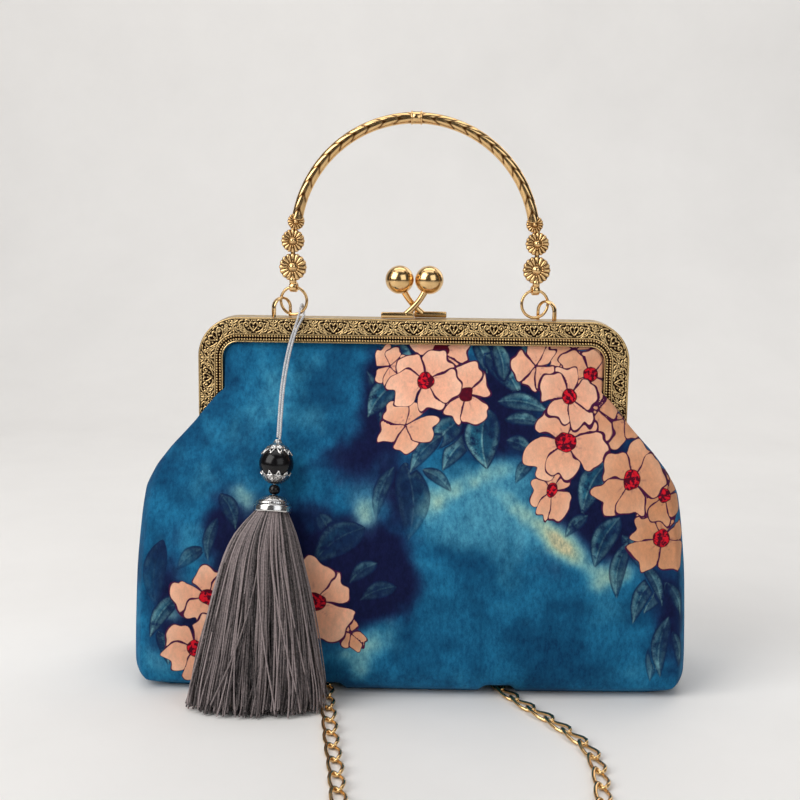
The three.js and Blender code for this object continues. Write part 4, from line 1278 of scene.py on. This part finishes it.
def beading(name, facing):
    """Two rows of small beads on a half of the frame, bright where they stand proud."""
    runs = np.linspace(-BAND_RUN, BAND_RUN, FACE["runs"])
    lines = []
    for inset in BEADS["insets"]:
        x, z = band_place(runs, np.full_like(runs, inset))
        lines.append(np.stack([facing * x, np.full_like(runs, -facing * BEADS["depth"]), z], 1))
    sizes = {"Pitch": BEADS["pitch"] * MM, "Radius": BEADS["radius"] * MM, "Finish": ANTIQUE.material}
    beads = bead_row_recipe().grow(name, path_mesh("bead_lines", lines), **sizes)
    proud = (-facing * mesh_points(beads)[:, 1] / MM - FRAME["depth"]) / BEADS["proud"]
    carry(beads, "relief", np.clip(proud, 0, 1))
    return beads


def make_frame():
    band = embossed_band()
    for name, facing in HALVES.items():
        half = Shape().join(band).moved(faced(facing))
        set_piece(half.mesh(f"embossed_frame_{name}"), ANTIQUE, "bag", "antique_gold", f"frame_{name}")
        set_piece(beading(f"frame_{name}_beading", facing), None, "bag", "antique_gold")


make_frame()


# Handle with its daisies, eyes and rings
HANDLE = {
    "y": -3.5, "x": 57.5, "radius": 56.2, "centre_z": 211.3, "end_z": 220.0, "tube": 2.65, "places": 420,
    "sides": 40,
}
# Leaves chased on the handle's tube, between two rails
CHASING = {
    "depth": 0.3, "pitch": 7.4, "slant": 0.55, "round": 0.55, "vein": 0.45, "vein_wide": 0.16,
    "rail_wide": 0.1, "contrast": 1.3, "sunk": 1.0,
}
SPINE = {"radius": 1.1, "foot": 190.1, "head": 217.0, "neck": 1.75, "neck_top": 193.0}
COLLAR = {"radius": 2.9, "half": 2.2, "rim": 3.25, "rim_half": 0.4, "sides": 40}
# Daisies of one side: x, z and radius
DAISIES = ((56.0, 219.2, 4.1), (57.5, 210.1, 5.6), (57.5, 197.8, 6.6))
DAISY = {
    "half": 1.9, "petals": 16, "petal_columns": 10, "rib_power": 1.1, "groove": 0.26, "flat": 0.78,
    "boss": 0.36, "boss_rise": 2.55, "boss_least": 1.2, "rim": 0.96, "rim_end": 1.02, "rim_height": 0.7,
    "scallop": 0.06, "scallop_from": 0.6,
}
# A daisy's rings as shares of its radius
DAISY_RINGS = np.array([0.03, 0.14, 0.24, 0.32, 0.36, 0.4, 0.46, 0.56, 0.68, 0.8, 0.9, 0.96, 1.0])
# Wear of a daisy, dark at -0.8 and bright from 0: its ribs, the foot of its boss and the boss
DAISY_WEAR = {"rib": 1.1, "groove": -0.85, "foot": -0.6, "foot_from": 0.3, "boss": 0.3}
RING = {"x": 57.1, "z": 181.9, "radius": 6.5, "wire": 0.7, "turn": 14.0}
EYE = {"outer": 2.4, "hole": 1.4, "half": 1.7, "bevel": 0.3, "sides": 32}
HANDLE_TOP = placed(0, HANDLE["y"], HANDLE["centre_z"] + HANDLE["radius"])


def handle_arch():
    first = math.asin((HANDLE["end_z"] - HANDLE["centre_z"]) / HANDLE["radius"])
    angles = np.linspace(first, math.pi - first, HANDLE["places"])
    path = np.stack([
        HANDLE["radius"] * np.cos(angles), np.full_like(angles, HANDLE["y"]),
        HANDLE["centre_z"] + HANDLE["radius"] * np.sin(angles),
    ], 1)
    around = angles_round(HANDLE["sides"])
    run = np.abs(angles - QUARTER_TURN)[:, None] * HANDLE["radius"]
    lateral = np.abs(np.sin(around))[None, :]
    phase = run / CHASING["pitch"] - CHASING["slant"] * lateral
    leaf = np.abs(np.sin(math.pi * phase)) ** CHASING["round"]
    vein = bell(lateral, CHASING["vein_wide"])
    rail = bell(lateral - 1, CHASING["rail_wide"])
    relief = np.clip(leaf - CHASING["vein"] * vein, 0, 1) * (1 - rail) + rail
    radius = HANDLE["tube"] - CHASING["depth"] * (1 - relief)
    section = np.stack([radius * np.cos(around), radius * np.sin(around)], -1)
    return swept(path, section).valued(relief=relief * CHASING["contrast"] - CHASING["sunk"])


def daisy(radius):
    """A disc of ribbed petals with a domed boss, the same on both faces."""
    columns = DAISY["petals"] * DAISY["petal_columns"]
    rings = DAISY_RINGS[:, None]
    angles = angles_round(columns)
    rib = np.abs(np.cos(angles * DAISY["petals"] / 2)) ** DAISY["rib_power"]
    dome = DAISY["boss_rise"] * np.sqrt(np.clip(1 - (rings / DAISY["boss"]) ** 2, 0, 1))
    edge = (DAISY["rim_end"] - rings) / (DAISY["rim_end"] - DAISY["rim"]) * DAISY["rim_height"]
    crown = at_least(DAISY["flat"], np.sin(math.pi * rings))
    petal = DAISY["half"] * np.where(rings >= DAISY["rim"], edge, crown)
    on_petal = rings > DAISY["boss"]
    ribbed = petal * at_least(1 - DAISY["groove"], rib)
    height = np.where(on_petal, ribbed, np.maximum(dome, DAISY["boss_least"]))
    height[-1] = 0
    scalloped = at_least(1 - DAISY["scallop"], rib)
    reach = radius * rings * np.where(rings > DAISY["scallop_from"], scalloped, 1.0)
    boss_wear = np.where(rings > DAISY_WEAR["foot_from"], DAISY_WEAR["foot"], DAISY_WEAR["boss"])
    relief = np.where(on_petal, rib * DAISY_WEAR["rib"] + DAISY_WEAR["groove"], boss_wear)
    shape = Shape()
    for face in (-1, 1):
        points = np.stack([reach * np.cos(angles), face * height, reach * np.sin(angles)], -1)
        faces = grid_faces(len(rings), columns, wrap_columns=True) + [row_face(0, columns)]
        shape.add(points, faces, relief=relief)
    return shape


def straight_rod(low, high, radius, sides=24, bevel=0.25):
    profile = [
        (0, low), (radius - bevel, low), (radius, low + bevel),
        (radius, high - bevel), (radius - bevel, high), (0, high),
    ]
    return turned(profile, sides)


def wire_ring(radius, wire, sides=64, wire_sides=14):
    angles = angles_round(sides)
    around = angles_round(wire_sides)
    reach = radius + wire * np.cos(around)[None, :]
    points = np.stack([
        reach * np.cos(angles)[:, None], np.repeat(wire * np.sin(around)[None, :], sides, 0),
        reach * np.sin(angles)[:, None],
    ], -1)
    return Shape().add(points, grid_faces(sides, wire_sides, wrap_rows=True, wrap_columns=True))


def ring_place(side, lift=0.0):
    return placed(side * RING["x"], HANDLE["y"], RING["z"] + lift, side * RING["turn"])


def ring_eye():
    """The eye at the handle's end that the ring goes through."""
    hole, outer, half, bevel = (EYE[k] for k in ("hole", "outer", "half", "bevel"))
    profile = [
        (hole, -half + bevel), (hole + bevel, -half), (outer - bevel, -half), (outer, -half + bevel),
        (outer, half - bevel), (outer - bevel, half), (hole + bevel, half), (hole, half - bevel),
        (hole, -half + bevel),
    ]
    return turned(profile, EYE["sides"])


def handle_side(side):
    """One side of the handle: the spine with its daisies, a rim of the collar, and the eye."""
    spine = straight_rod(SPINE["foot"], SPINE["head"], SPINE["radius"])
    spine.join(straight_rod(SPINE["foot"], SPINE["neck_top"], SPINE["neck"]))
    shape = spine.moved(placed(side * HANDLE["x"], HANDLE["y"], 0))
    for x, z, radius in DAISIES:
        shape.join(daisy(radius).moved(placed(side * x, HANDLE["y"], z)))
    rim = straight_rod(-COLLAR["rim_half"], COLLAR["rim_half"], COLLAR["rim"], COLLAR["sides"])
    shape.join(rim.moved(HANDLE_TOP @ placed(side * COLLAR["half"], 0, 0) @ ACROSS))
    return shape.join(ring_eye().moved(ring_place(side, RING["radius"]) @ ACROSS))


def make_handle():
    shape = handle_arch()
    collar = straight_rod(-COLLAR["half"], COLLAR["half"], COLLAR["radius"], COLLAR["sides"])
    shape.join(collar.moved(HANDLE_TOP @ ACROSS))
    for side in SIDES.values():
        shape.join(handle_side(side))
    set_piece(shape.mesh("cast_handle"), GOLD, "handle", "gold", "handle")
    for name, side in SIDES.items():
        ring = wire_ring(RING["radius"], RING["wire"]).moved(ring_place(side))
        set_piece(ring.mesh(f"jump_ring_{name}"), GOLD, "handle", "gold", f"ring_{name}")


make_handle()


# Kiss lock, lugs, hinge pins and strap eyes
LUG = {
    "reach": 4.5, "strap": 0.68, "wide": 0.72, "foot": 174.3, "spring": 178.7, "turn": 32.8, "x": 62.8,
    "y": -3.45, "bend_places": 28, "sides": 20, "square": 0.5,
}
# How far a lug's strap reaches to the front, from its outer foot to its inner one
LUG_FRONT = ((0, 2.3), (0.4, 2.3), (0.62, 1.6), (0.8, 0.7), (1, 0.7))
CLASP = {
    "bar": (7.8, 1.5, 1.4), "bar_at": (-7.8, -3.4, 175.7), "bar_bevel": 0.6,
    "ball": 6.8, "ball_at": (7.05, 0, 192.3),
}
STEM = {"places": 40, "sides": 20}
STEM_ROUTE = ((-4, -3.4, 175.9), (-1, -2.9, 178.7), (2.6, -2.3, 182.9), (6.25, -0.8, 189.05))
STEM_RADII = ((0, 1.6), (0.5, 1.45), (1, 1.75))
PIN = {"radius": 2.1, "z": 131.0, "inner": 99.1, "outer": 102.4}
STRAP_EYE = {"x": 72.0, "y": 8.0, "z": 168.0, "plate": (3.5, 0.7, 4.0), "bevel": 0.5}
STRAP_RING = {"y": 11.5, "z": 166.0, "radius": 3.0, "wire": 0.9, "sides": 40, "turn": 90.0}
CORNER_SIGNS = ((1, 1), (-1, 1), (-1, -1), (1, -1))


def soft_box(half, bevel, corner_places=5, rows=10):
    """A box with rounded edges, from half sizes."""
    x, y, z = half
    bend = np.linspace(0, QUARTER_TURN, corner_places)
    angles = np.concatenate([bend + k * QUARTER_TURN for k in range(len(CORNER_SIGNS))])
    corner = np.stack([np.cos(angles), np.sin(angles)], 1)
    signs = np.repeat(np.array(CORNER_SIGNS, float), corner_places, 0)
    outlines = []
    for lift in np.linspace(-QUARTER_TURN, QUARTER_TURN, rows):
        height = math.copysign(z - bevel, lift) + bevel * math.sin(lift)
        outline = signs * (x - bevel, y - bevel) + corner * (bevel * math.cos(lift))
        outlines.append(np.column_stack([outline, np.full(len(outline), height)]))
    columns = len(corner)
    faces = grid_faces(rows, columns, wrap_columns=True)
    faces += [row_face(0, columns), row_face(rows - 1, columns)]
    return Shape().add(np.array(outlines), faces)


def ball(radius, sides=48, rows=24):
    lift = np.linspace(-QUARTER_TURN, QUARTER_TURN, rows + 1)
    return turned(np.stack([radius * np.cos(lift), radius * np.sin(lift)], 1), sides)


def make_kiss_lock(name, facing):
    shape = soft_box(CLASP["bar"], CLASP["bar_bevel"]).moved(placed(*CLASP["bar_at"]))
    radii = smooth_table(np.linspace(0, 1, STEM["places"]), *zip(*STEM_RADII))
    path = curve_through(STEM_ROUTE, STEM["places"])
    shape.join(swept(path, circle(STEM["sides"])[None] * radii[:, None, None]))
    shape.join(ball(CLASP["ball"]).moved(placed(*CLASP["ball_at"])))
    half = shape.moved(faced(facing))
    set_piece(half.mesh(f"kiss_lock_{name}"), GOLD, "bag", "gold", f"clasp_{name}")


def make_lug(name, side):
    """An arched strap with round edges, wider to the front on its outer leg."""
    bend = np.linspace(math.pi, 0, LUG["bend_places"])
    x = np.concatenate([[-LUG["reach"]], LUG["reach"] * np.cos(bend), [LUG["reach"]]])
    z = np.concatenate([[LUG["foot"]], LUG["spring"] + LUG["reach"] * np.sin(bend), [LUG["foot"]]])
    path = np.stack([x, np.zeros_like(x), z], 1)
    front = smooth_table(np.linspace(0, 1, len(path)), *zip(*LUG_FRONT))[::-side]
    edge_y, edge_z = circle(LUG["sides"]).T
    reach = np.where(edge_y < 0, front[:, None], LUG["wide"])
    widths = reach * np.abs(edge_y) ** LUG["square"] * np.sign(edge_y)
    section = np.stack([widths, np.broadcast_to(LUG["strap"] * edge_z, widths.shape)], -1)
    lug = swept(path, section).moved(placed(side * LUG["x"], LUG["y"], 0, -side * LUG["turn"]))
    set_piece(lug.mesh(f"arched_lug_{name}"), GOLD, "bag", "gold", f"lug_{name}")


def make_rivet(name, side):
    low, high = sorted((side * PIN["inner"], side * PIN["outer"]))
    pin = straight_rod(low, high, PIN["radius"]).moved(placed(0, 0, PIN["z"]) @ ACROSS)
    set_piece(pin.mesh(f"rivet_{name}"), GOLD, "bag", "antique_gold", f"hinge_pin_{name}")


def make_strap_loop(name, side):
    x = side * STRAP_EYE["x"]
    plate = soft_box(STRAP_EYE["plate"], STRAP_EYE["bevel"])
    eye = plate.moved(placed(x, STRAP_EYE["y"], STRAP_EYE["z"]))
    loop = wire_ring(STRAP_RING["radius"], STRAP_RING["wire"], STRAP_RING["sides"])
    eye.join(loop.moved(placed(x, STRAP_RING["y"], STRAP_RING["z"], STRAP_RING["turn"])))
    set_piece(eye.mesh(f"strap_loop_{name}"), GOLD, "bag", "gold", f"strap_eye_{name}")


def make_fittings():
    for name, facing in HALVES.items():
        make_kiss_lock(name, facing)
    for name, side in SIDES.items():
        make_lug(name, side)
        make_rivet(name, side)
        make_strap_loop(name, side)


make_fittings()


# Chain strap: one run of links, from the left eye behind the pouch, under it, out in front and back
CHAIN_LEFT = (
    (-72, 11.6, 157.6), (-70.8, 13.2, 152), (-66.8, 18.6, 136), (-62, 26.4, 118), (-57, 34.6, 100),
    (-51.5, 41.8, 77), (-46, 44.5, 52), (-41.8, 45.9, 28), (-39.6, 46.2, 13), (-38.8, 45.6, 5.4),
    (-38.5, 41.5, 1.8), (-38.5, 30, 1.6), (-38.5, 0, 1.6), (-38.3, -36, 1.6), (-35.2, -66, 1.6),
    (-31.8, -96, 1.6), (-28.8, -118, 1.6), (-26.2, -142, 1.6), (-22, -172, 1.6), (-8, -204, 1.6),
    (8, -217.6, 1.6), (22, -219, 1.6),
)
CHAIN_RIGHT = (
    (36, -217.6, 1.6), (53, -206, 1.6), (66, -186, 1.6), (74, -160, 1.6), (77.6, -134, 1.6),
    (78.4, -112, 1.6), (76.4, -96, 1.6), (70, -80, 1.6), (61, -63, 1.6), (52, -48, 1.6), (42.4, -26, 1.6),
    (42, 0, 1.6), (42, 30, 1.6), (42, 41.5, 1.8), (42.2, 45.6, 5.4), (42.8, 46.2, 13), (44.4, 45.9, 28),
    (47.4, 44.5, 52), (51.5, 41.8, 77), (57, 34.6, 100), (62, 26.4, 118), (66.8, 18.6, 136),
    (70.8, 13.2, 152), (72, 11.6, 157.6),
)
CHAIN = {
    "places": 1400, "pitch": 13.6, "long": 8.2, "wide": 2.9, "wire": 0.85, "twist": 0.62, "lean": 0.8,
    "floor": 0.05, "sides": 16, "wire_sides": 6,
}


def make_chain():
    path = curve_through(CHAIN_LEFT + CHAIN_RIGHT, CHAIN["places"])
    _, sides, _ = frames_along(path, (1, 0, 0))
    run = length_of(path)
    links = round(run / CHAIN["pitch"])
    sizes = {key.title(): CHAIN[key] * MM for key in ("long", "wide", "wire", "lean")}
    sizes |= {"Pitch": run / links * MM, "Twist": CHAIN["twist"], "Finish": GOLD.material}
    chain = chain_recipe().grow("chain_strap", path_mesh("chain_line", [path], side=[sides]), **sizes)
    places = mesh_points(chain)
    places[:, 2] = np.maximum(places[:, 2], CHAIN["floor"] * MM)
    chain.vertices.foreach_set("co", places.ravel())
    set_piece(chain, None, "bag", "gold", "strap_chain_left", "strap_chain_right")


make_chain()


# Tassel: bead, caps, cord and fringe, hung on a slant from the left ring
# The middle of the bead, and its slant in degrees
DROP = {"x": -61.9, "y": -36.2, "z": 109.7, "tilt": -18.0, "lean": 2.4}
# Profiles of radius and height from the middle of the bead
TOP_CAP = (
    (0, 8.05), (2, 7.8), (4.3, 6.8), (5.3, 6.0), (5.7, 6.0), (5.9, 6.5), (5.3, 7.4), (4.6, 8.1), (3.4, 8.8),
    (2.4, 9.5), (1.8, 10.3), (1.7, 11.0), (1.2, 11.2), (0, 11.2),
)
BOTTOM_CAP = (
    (0, -9.4), (1.6, -9.4), (2.4, -9.3), (3.6, -8.8), (4.8, -8.0), (5.9, -6.9), (6.7, -5.9), (6.5, -5.4),
    (6.2, -5.3), (4.3, -6.8), (2, -7.8), (0, -8.05),
)
SMALL_BEAD = (
    (0, -14.3), (0.9, -14.25), (1.7, -13.9), (2.3, -13.3), (2.6, -12.5), (2.6, -11.5), (2.3, -10.7),
    (1.7, -10.1), (0.9, -9.75), (0, -9.7),
)
TASSEL_CAP = (
    (0, -22.6), (8.4, -22.6), (8.8, -22.4), (8.95, -22.0), (8.95, -19.8), (8.8, -19.3), (8.2, -19.0),
    (7.9, -18.7), (7.9, -17.9), (7.6, -17.4), (7.0, -16.9), (6.1, -16.1), (4.9, -15.3), (3.6, -14.8),
    (2.4, -14.6), (0, -14.6),
)
ROUND_BEAD = {"radius": 7.9, "sides": 64, "rows": 32}
SPACER = {"rows": 30, "sides": 40}
CAPS = {"rows": 60, "sides": 120, "depth": 0.28, "solid": 1.0}
FILIGREE = {"lobes": 10, "pitch": 1.6, "least": 0.15, "most": 0.7, "petal_round": 0.5, "grain_round": 0.7}
# Heights on the tassel's cap where its band ends, its milled ring starts and ends, and its leaves start
CAP_BAND = (-19.5, -19.2)
CAP_RING = (-19.0, -18.8), (-17.7, -17.5)
CAP_LEAVES = (-17.4, -17.2)
CAP_CHASING = {
    "notches": 22, "ring_round": 0.7, "leaves": 8, "leaf_round": 0.6, "sway": 1.5, "sway_rate": 2.2,
}
CROWN = {
    "points": 10, "places": 240, "low": 58.0, "high": 30.0, "reach": 8.1, "wire": 0.4, "wire_sides": 8,
}
CORD = {
    "radius": 0.55, "places": 520, "sides": 10, "turns": 250, "plies": 2, "shade": 0.55, "ply_shade": 0.45,
}
CORD_ROUTE = (
    (-61.7, -32.5, 121.2), (-61.6, -28.3, 129.3), (-61, -20.6, 144.6), (-58.6, -12.6, 161),
    (-56, -8.6, 170), (-54.6, -7.5, 174.6), (-53.9, -6.4, 177.6), (-53.4, -4.4, 180.1),
    (-53.1, -2.1, 179.9), (-52.8, -0.8, 177.9), (-52.5, -1.8, 175.7), (-52.2, -4.4, 175.1),
    (-52.0, -6.4, 175.4), (-52.5, -7.8, 174.3), (-54.7, -8.6, 170), (-57.35, -12.6, 161),
    (-59.8, -20.6, 144.6), (-60.45, -28.3, 129.3), (-60.7, -32.2, 121.2), (-61.4, -34, 116.5),
    (-62.4, -38.7, 102), (-63.4, -43.2, 88.2), (-65.2, -46.9, 80), (-66.6, -50, 66), (-67, -53, 46),
    (-67.6, -54.5, 33),
)
# Fringe by height: middle x and y, half width and half depth
FRINGE_ROWS = np.array([
    (88.6, -63.5, -43.2, 7.4, 7.0), (80, -65.6, -46.9, 13.6, 8.8), (70, -66.6, -49.5, 17.7, 9.6),
    (50, -67, -52.7, 23.0, 10.3), (25, -67.9, -55.4, 27.9, 11.2), (9, -68.7, -56.9, 30.3, 12.0),
    (0.6, -69.5, -57.6, 30.5, 12.4),
])
FRINGE = {
    "strands": 1000, "places": 20, "sides": 4, "radius": 0.42, "seed": 7, "floor": 0.6, "ragged": 3.6,
    "inner_reach": 0.15, "crowding": 0.4, "strays": 0.06, "drift": 0.18, "stray_drift": 0.6,
    "drift_power": 1.5, "wave": 0.6, "wave_rate": (2, 9), "wave_depth": 0.5, "flare": 0.05,
    "flare_power": 4, "root_lean": -18.0, "root_power": 3, "shade_power": 1.2, "inner_shade": 0.1,
    "lit": (0.72, 1.0),
}


def hung(shape):
    tilt = Matrix.Rotation(math.radians(DROP["tilt"]), 4, "X")
    lean = Matrix.Rotation(math.radians(DROP["lean"]), 4, "Y")
    return shape.moved(placed(DROP["x"], DROP["y"], DROP["z"]) @ tilt @ lean)


def chased(profile, pattern):
    """A turned piece with a pattern of angle and height sunk into it."""
    profile = evenly(profile, CAPS["rows"])
    radius, height = profile[:, :1], profile[:, 1:]
    relief = np.clip(pattern(angles_round(CAPS["sides"])[None, :], height), 0, 1)
    sunk = CAPS["depth"] * (1 - relief) * (radius > CAPS["solid"])
    return spun(np.maximum(radius - sunk, 0), profile[:, 1], relief=relief)


def filigree(angle, height):
    """Petals of fine grains."""
    lobes = FILIGREE["lobes"]
    petal = np.abs(np.cos(angle * lobes / 2)) ** FILIGREE["petal_round"]
    grains = (1 + np.cos(height / FILIGREE["pitch"] * TURN) * np.cos(angle * lobes * 2)) / 2
    return FILIGREE["least"] + FILIGREE["most"] * petal * np.abs(grains) ** FILIGREE["grain_round"]


def cap_pattern(angle, height):
    """A plain band at the rim, a milled ring over it and leaves on the dome."""
    band = 1 - step(height, *CAP_BAND)
    starts, ends = CAP_RING
    notches = np.abs(np.cos(angle * CAP_CHASING["notches"])) ** CAP_CHASING["ring_round"]
    milled = step(height, *starts) * (1 - step(height, *ends)) * notches
    sway = CAP_CHASING["sway"] * np.sin(height * CAP_CHASING["sway_rate"])
    blades = np.abs(np.cos(angle * CAP_CHASING["leaves"] + sway)) ** CAP_CHASING["leaf_round"]
    return np.maximum(np.maximum(band, milled), step(height, *CAP_LEAVES) * blades)


def zigzag_crown(sign):
    """A zigzag of wire round the bead, its points towards the bead's middle."""
    angles = np.linspace(0, TURN, CROWN["places"] + 1)
    zigzag = np.abs(np.mod(angles / TURN * CROWN["points"], 1) * 2 - 1)
    lift = np.radians(CROWN["low"] + (CROWN["high"] - CROWN["low"]) * zigzag)
    out = np.cos(lift)
    path = CROWN["reach"] * np.stack([out * np.cos(angles), out * np.sin(angles), sign * np.sin(lift)], 1)
    wire = swept(path, circle(CROWN["wire_sides"], CROWN["wire"]), (0, 0, 1))
    return wire.valued(relief=np.ones(wire.count))


def fringe_paths():
    """The threads' paths, and a shade for each: a random tone, with painted shade on the inner threads so
    that the outer ones are lighter, and a few stray.
    """
    chance = np.random.default_rng(FRINGE["seed"])
    t = np.linspace(0, 1, FRINGE["places"])
    top_z, _, top_y = FRINGE_ROWS[0, :3]
    paths = []
    shades = []
    for _ in range(FRINGE["strands"]):
        angle = chance.uniform(0, TURN)
        reach = chance.uniform(FRINGE["inner_reach"], 1.0) ** FRINGE["crowding"]
        stray = chance.random() < FRINGE["strays"]
        end = FRINGE["floor"] + abs(chance.normal(0, FRINGE["ragged"]))
        z = top_z + (end - top_z) * t
        sway = FRINGE["stray_drift"] if stray else FRINGE["drift"]
        bearing = angle + chance.normal(0, sway) * t ** FRINGE["drift_power"]
        wave = chance.normal(0, FRINGE["wave"])
        wave = wave * np.sin(t * chance.uniform(*FRINGE["wave_rate"]) + chance.uniform(0, TURN)) * t
        middle_x, middle_y, wide, deep = (
            smooth_table(-z, -FRINGE_ROWS[:, 0], column) for column in FRINGE_ROWS[:, 1:].T
        )
        spread = reach * (1 + chance.normal(0, FRINGE["flare"]) * t ** FRINGE["flare_power"])
        x = middle_x + wide * spread * np.cos(bearing) + wave
        y = middle_y + deep * spread * np.sin(bearing) + wave * FRINGE["wave_depth"]
        rise = (y[0] - top_y) * math.tan(math.radians(FRINGE["root_lean"]))
        z = z + rise * (1 - t) ** FRINGE["root_power"]
        paths.append(np.stack([x, y, np.maximum(z, FRINGE["floor"])], 1))
        shade = chance.uniform(0.0, 1.0) ** FRINGE["shade_power"]
        # Painted shade: threads deeper in the fringe are darkened, as if shadowed by the outer threads
        shades.append(np.full(len(t), shade * at_least(FRINGE["inner_shade"], step(reach, *FRINGE["lit"]))))
    return paths, shades


def make_drop():
    """The beads and caps on the cord, from the top."""
    top = hung(chased(TOP_CAP, filigree).join(zigzag_crown(1)))
    bead = hung(ball(ROUND_BEAD["radius"], ROUND_BEAD["sides"], ROUND_BEAD["rows"]))
    bottom = hung(chased(BOTTOM_CAP, filigree).join(zigzag_crown(-1)))
    small = hung(turned(evenly(SMALL_BEAD, SPACER["rows"]), SPACER["sides"]))
    cap = hung(chased(TASSEL_CAP, cap_pattern))
    return [
        set_piece(top.mesh("filigree_cap_top"), SILVER, "bag", "silver", "bead_cap_top"),
        set_piece(bead.mesh("round_bead"), BEAD, "bag", "black_bead", "bead_large"),
        set_piece(bottom.mesh("filigree_cap_bottom"), SILVER, "bag", "silver", "bead_cap_bottom"),
        set_piece(small.mesh("spacer_bead"), BEAD, "bag", "black_bead", "bead_small"),
        set_piece(cap.mesh("chased_tassel_cap"), SILVER, "bag", "silver", "tassel_cap"),
    ]


def make_fringe():
    paths, shades = fringe_paths()
    sizes = {"Radius": FRINGE["radius"] * MM, "Finish": THREAD.material}
    fringe = strand_recipe().grow("thread_fringe", path_mesh("fringe_lines", paths, shade=shades), **sizes)
    return set_piece(fringe, None, "bag", "thread", "tassel_fringe")


def make_cord(hanging):
    """The cord, doubled over the ring and on through what hangs on it, with a twist of two plies painted on
    as light and shaded spiral bands.
    """
    path = curve_through(CORD_ROUTE, CORD["places"])
    along = np.arange(CORD["places"])[:, None] / CORD["places"] * CORD["turns"]
    around = np.arange(CORD["sides"])[None, :] / CORD["sides"] * CORD["plies"]
    # Painted shade: the dark spiral bands are the shade in the grooves between the plies, on a plain round
    # tube
    shade = CORD["shade"] + CORD["ply_shade"] * np.sin((along + around) * TURN)
    cord = swept(path, circle(CORD["sides"], CORD["radius"])).valued(shade=shade)
    piece = set_piece(cord.mesh("looped_cord"), CORDING, "bag", "cord", "tassel_cord")


make_cord([*make_drop(), make_fringe()])


# Studio: pale floor and backdrop, soft daylight from the left, the photo's view
CAMERA = {
    "at": (3.2, -609.1, 230.1), "pitch": 8.93, "yaw": -0.88, "roll": 0.73, "lens": 57.5, "sensor": 36.0,
    "near": 10.0,
}
STAGE = {
    "front": -1700.0, "back": 1050.0, "half_width": 1700.0, "height": 1500.0, "bend": 420.0,
    "bend_places": 16,
}
# Lamps: place, aim, size in metres, power in watts and tint
LAMPS = {
    "window": ((-900, -700, 900), (0, 0, 110), (1.0, 1.2), 15.0, (1.0, 0.985, 0.96)),
    "front_fill": ((700, -1100, 700), (0, 0, 100), (1.0, 1.0), 4.6, (0.95, 0.98, 1.0)),
    "top": ((0, 100, 1300), (0, 0, 80), (1.2, 1.0), 5.8, (1.0, 1.0, 1.0)),
    "wall_wash": ((0, 350, 1250), (0, 1050, 330), (2.2, 0.5), 2.8, (1.0, 0.99, 0.98)),
    "rear_fill": ((750, 900, 750), (0, 0, 100), (0.9, 0.9), 3.0, (1.0, 0.99, 0.97)),
}
ROOM = {"dim": 0.075, "haze": 0.72}


def make_stage():
    """A floor that bends up into a backdrop."""
    turn = np.linspace(0, QUARTER_TURN, STAGE["bend_places"])
    y = STAGE["back"] - STAGE["bend"] * (1 - np.sin(turn))
    z = STAGE["bend"] * (1 - np.cos(turn))
    outline = [(STAGE["front"], 0.0), *zip(y, z), (STAGE["back"], STAGE["height"])]
    edges = (-STAGE["half_width"], STAGE["half_width"])
    points = np.array([[(x, y, z) for x in edges] for y, z in outline])
    finish = Finish("pale_floor", Roughness=0.62)
    finish.paint(Base_Color=finish.mix(finish.grain("floor_cloud"), color("floor"), color("floor_pale")))
    mesh = Shape().add(points, grid_faces(len(outline), len(edges))).mesh("floor", weld=False)
    mesh.materials.append(finish.material)
    floor = linked("floor", mesh)


def make_light(name, place, aim, size, power, tint):
    lamp = bpy.data.lights.new(name, "AREA")
    lamp.shape = "RECTANGLE"
    lamp.size, lamp.size_y = size
    lamp.energy = power
    lamp.color = tint
    light = linked(name, lamp)
    light.location = Vector(place) * MM
    light.rotation_euler = (Vector(aim) - Vector(place)).to_track_quat("-Z", "Y").to_euler()


def make_camera():
    pitch, yaw, roll = (math.radians(CAMERA[k]) for k in ("pitch", "yaw", "roll"))
    ahead = Vector((math.sin(yaw) * math.cos(pitch), math.cos(yaw) * math.cos(pitch), -math.sin(pitch)))
    right = Vector((math.cos(yaw), -math.sin(yaw), 0))
    up = right.cross(ahead)
    right, up = right * math.cos(roll) + up * math.sin(roll), up * math.cos(roll) - right * math.sin(roll)
    lens = bpy.data.cameras.new("camera")
    lens.lens = CAMERA["lens"]
    lens.sensor_width = CAMERA["sensor"]
    lens.clip_start = CAMERA["near"] * MM
    camera = linked("camera", lens)
    turn = Matrix((right, up, -ahead)).transposed().to_4x4()
    camera.matrix_world = Matrix.Translation(Vector(CAMERA["at"]) * MM) @ turn
    bpy.context.scene.camera = camera


def make_world():
    """A dim room for the metal to mirror, and a pale haze beyond the floor for the camera."""
    world = bpy.data.worlds.new("studio")
    world.use_nodes = True
    room = Graph(world.node_tree)
    seen = room.node("ShaderNodeLightPath", None, None, "Is Camera Ray")
    dim = room.node("ShaderNodeBackground", None, {"Color": color("haze"), "Strength": ROOM["dim"]})
    haze = room.node("ShaderNodeBackground", None, {"Color": color("haze"), "Strength": ROOM["haze"]})
    both = room.node("ShaderNodeMixShader", None, {0: seen, 1: dim, 2: haze})
    room.feed(room.tree.nodes["World Output"].inputs["Surface"], both)
    bpy.context.scene.world = world


make_stage()
for name, lamp in LAMPS.items():
    make_light(name, *lamp)
make_camera()
make_world()
bpy.context.scene.view_settings.view_transform = "Standard"
